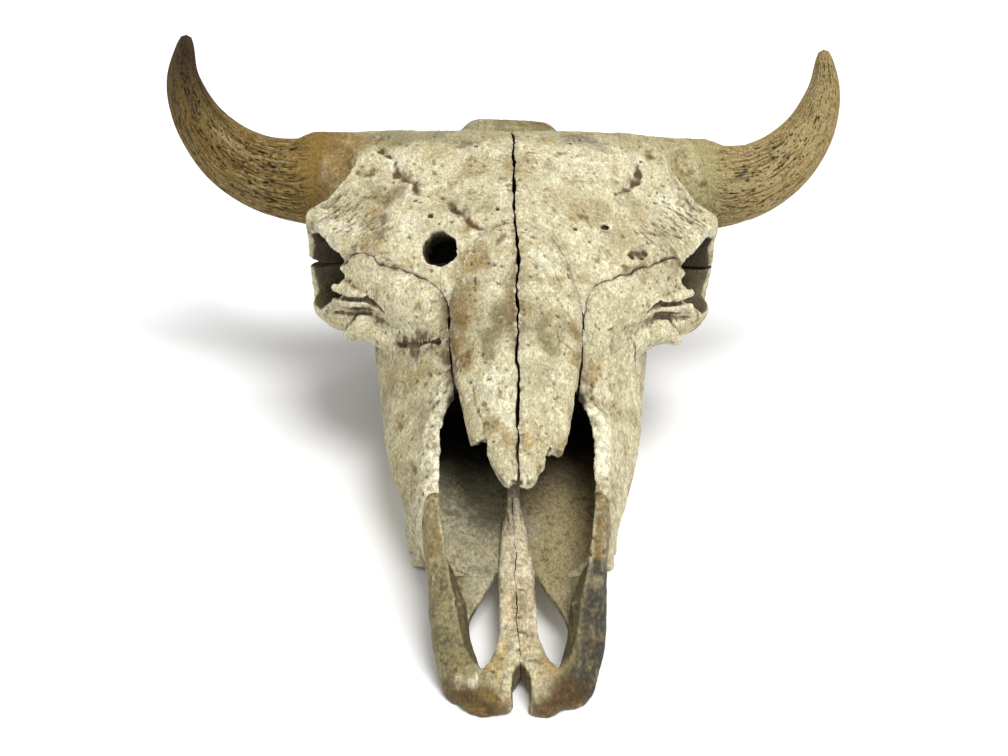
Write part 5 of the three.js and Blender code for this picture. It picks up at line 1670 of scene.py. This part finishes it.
# Settings
class SkullBones(bpy.types.PropertyGroup):
    fineness: bpy.props.FloatProperty(
        name="Fineness", description="Divides the spacing of the samples the bones are made from",
        default=1.0, min=0.3, max=1.2)
    suture_gap: bpy.props.FloatProperty(
        name="Suture width", description="Multiplies the clear width of the sutures between bones",
        default=1.0, min=0.2, max=3)
    crack_width: bpy.props.FloatProperty(
        name="Midline crack", description="Width of the open suture on the midline",
        default=0.0021, unit="LENGTH")
    roughness: bpy.props.FloatProperty(
        name="Roughness", description="Height of the uneven bone surface", default=0.0005, unit="LENGTH")
    asymmetry: bpy.props.FloatProperty(
        name="Asymmetry", description="How far one side strays from the other's mirror image",
        default=0.0012, unit="LENGTH")


class SkullHorns(bpy.types.PropertyGroup):
    rings: bpy.props.IntProperty(name="Rings", description="Rings along a horn core", default=300)
    around: bpy.props.IntProperty(name="Points round", description="Points round a horn core", default=300)
    groove_depth: bpy.props.FloatProperty(
        name="Groove depth", description="Depth of the grooves along a horn core",
        default=0.0012, unit="LENGTH")


class SkullColours(bpy.types.PropertyGroup):
    bone_tint: bpy.props.FloatVectorProperty(
        name="Bone tint", description="Multiplies the painted colour of the bones",
        default=(1, 1, 1), min=0, max=2, subtype="COLOR")
    horn_tint: bpy.props.FloatVectorProperty(
        name="Horn tint", description="Multiplies the painted colour of the horn cores",
        default=(1, 1, 1), min=0, max=2, subtype="COLOR")
    floor: bpy.props.FloatVectorProperty(
        name="Floor", description="Colour of the floor",
        default=(0.94, 0.94, 0.94), min=0, max=1, subtype="COLOR")


class SkullStage(bpy.types.PropertyGroup):
    place: bpy.props.FloatVectorProperty(
        name="Camera place", description="Camera in the skull's own axes",
        default=(-0.03554, -0.64497, 0.58544), unit="LENGTH")
    pitch: bpy.props.FloatProperty(
        name="Pitch", description="How far the camera looks down",
        default=math.radians(28.08), unit="ROTATION")
    yaw: bpy.props.FloatProperty(
        name="Yaw", description="How far the camera turns to the right",
        default=math.radians(1.79), unit="ROTATION")
    roll: bpy.props.FloatProperty(
        name="Roll", description="How far the camera leans", default=math.radians(1.47), unit="ROTATION")
    lens: bpy.props.FloatProperty(name="Lens", description="Focal length in millimetres", default=49.39)


ROOF_BONES = ("nasal", "lacrimal", "frontal", "parietal")
FACE_BONES = ("premaxilla", "maxilla", "zygomatic", "vomer")


def build_bones(context, names):
    for name in names:
        for side in ((None,) if name in SINGLE else SIDES):
            build_bone(name, side, context.scene.skull_bones)
    return {"FINISHED"}


class SKULL_OT_roof(bpy.types.Operator):
    """Builds the bones of the forehead and the nose's roof"""

    bl_idname = "skull.roof"
    bl_label = "Build roof bones"

    def execute(self, context):
        return build_bones(context, ROOF_BONES)


class SKULL_OT_face(bpy.types.Operator):
    """Builds the jaw, muzzle and cheek bones with the teeth"""

    bl_idname = "skull.face"
    bl_label = "Build face bones"

    def execute(self, context):
        return build_bones(context, FACE_BONES)


class SKULL_OT_base(bpy.types.Operator):
    """Builds the bones of the braincase and its underside"""

    bl_idname = "skull.base"
    bl_label = "Build base bones"

    def execute(self, context):
        return build_bones(context, [name for name in CELLS if name not in ROOF_BONES + FACE_BONES])


class SKULL_OT_horns(bpy.types.Operator):
    """Builds both horn cores"""

    bl_idname = "skull.horns"
    bl_label = "Build horn cores"

    def execute(self, context):
        for side in SIDES:
            build_horn(side, context.scene.skull_horns)
        return {"FINISHED"}


FLOOR_HALF = 6
FLOOR_DROP = 0.0003
SKY_STRENGTH = 0.56
SUN_STRENGTH = 2.6
SUN_SPREAD = math.radians(32)
SUN_WAY = (-0.28, 0.34, -1.0)
SENSOR_WIDTH = 36
CLIP_START = 0.05


def set_floor(scene):
    mesh = bpy.data.meshes.new("floor")
    corners = [(FLOOR_HALF * a, FLOOR_HALF * b, 0) for a, b in ((-1, -1), (1, -1), (1, 1), (-1, 1))]
    mesh.from_pydata(corners, [], [(0, 1, 2, 3)])
    mesh.materials.append(floor_material())
    floor = bpy.data.objects.new("floor", mesh)
    floor.location.z = -FLOOR_DROP
    scene.collection.objects.link(floor)


def set_light(scene):
    world = bpy.data.worlds.new("studio")
    world.use_nodes = True
    sky = world.node_tree.nodes["Background"]
    sky.inputs["Color"].default_value = (1.0, 1.0, 1.0, 1)
    sky.inputs["Strength"].default_value = SKY_STRENGTH
    scene.world = world
    sun = bpy.data.lights.new("key", "SUN")
    sun.energy = SUN_STRENGTH
    sun.angle = SUN_SPREAD
    lamp = bpy.data.objects.new("key", sun)
    lamp.rotation_euler = Vector(SUN_WAY).to_track_quat("-Z", "Y").to_euler()
    scene.collection.objects.link(lamp)


def set_camera(scene):
    settings = scene.skull_stage
    turn, look, lean = settings.yaw, settings.pitch, settings.roll
    ahead = Vector((math.sin(turn) * math.cos(look), math.cos(turn) * math.cos(look), -math.sin(look)))
    right = Vector((math.cos(turn), -math.sin(turn), 0))
    up = right.cross(ahead)
    across = right * math.cos(lean) + up * math.sin(lean)
    above = up * math.cos(lean) - right * math.sin(lean)
    camera = bpy.data.cameras.new("camera")
    camera.lens = settings.lens
    camera.sensor_width = SENSOR_WIDTH
    camera.clip_start = CLIP_START
    viewer = bpy.data.objects.new("camera", camera)
    matrix = Matrix((across, above, -ahead)).transposed().to_4x4()
    matrix.translation = Vector(settings.place) + Vector(frame_shift() * MM)
    viewer.matrix_world = matrix
    scene.collection.objects.link(viewer)
    scene.camera = viewer
    scene.view_settings.view_transform = "Standard"


class SKULL_OT_stage(bpy.types.Operator):
    """Sets the pale floor, the soft studio light and the camera"""

    bl_idname = "skull.stage"
    bl_label = "Set the stage"

    def execute(self, context):
        set_floor(context.scene)
        set_light(context.scene)
        set_camera(context.scene)
        return {"FINISHED"}


class SKULL_PT_panel(bpy.types.Panel):
    """Sizes and steps of the skull"""

    bl_label = "Bison skull"
    bl_idname = "SKULL_PT_panel"
    bl_space_type = "VIEW_3D"
    bl_region_type = "UI"
    bl_category = "Skull"

    def draw(self, context):
        scene = context.scene
        for group, steps in STEPS_OF.items():
            box = self.layout.box()
            settings = getattr(scene, group)
            for name in settings.__annotations__:
                box.prop(settings, name)
            for step in steps:
                box.operator(step)


GROUPS = {
    "skull_colours": SkullColours, "skull_bones": SkullBones, "skull_horns": SkullHorns,
    "skull_stage": SkullStage,
}
STEPS_OF = {
    "skull_colours": (), "skull_bones": ("skull.roof", "skull.face", "skull.base"),
    "skull_horns": ("skull.horns",), "skull_stage": ("skull.stage",),
}
CLASSES = (
    *GROUPS.values(), SKULL_OT_roof, SKULL_OT_face, SKULL_OT_base, SKULL_OT_horns, SKULL_OT_stage,
    SKULL_PT_panel,
)


def register():
    for cls in CLASSES:
        bpy.utils.register_class(cls)
    for name, cls in GROUPS.items():
        setattr(bpy.types.Scene, name, bpy.props.PointerProperty(type=cls))


def unregister():
    for name in GROUPS:
        delattr(bpy.types.Scene, name)
    for cls in reversed(CLASSES):
        bpy.utils.unregister_class(cls)


def main():
    register()
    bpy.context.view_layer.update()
    bpy.ops.skull.roof()
    bpy.ops.skull.face()
    bpy.ops.skull.base()
    bpy.ops.skull.horns()
    bpy.ops.skull.stage()


if __name__ == "__main__":
    main()
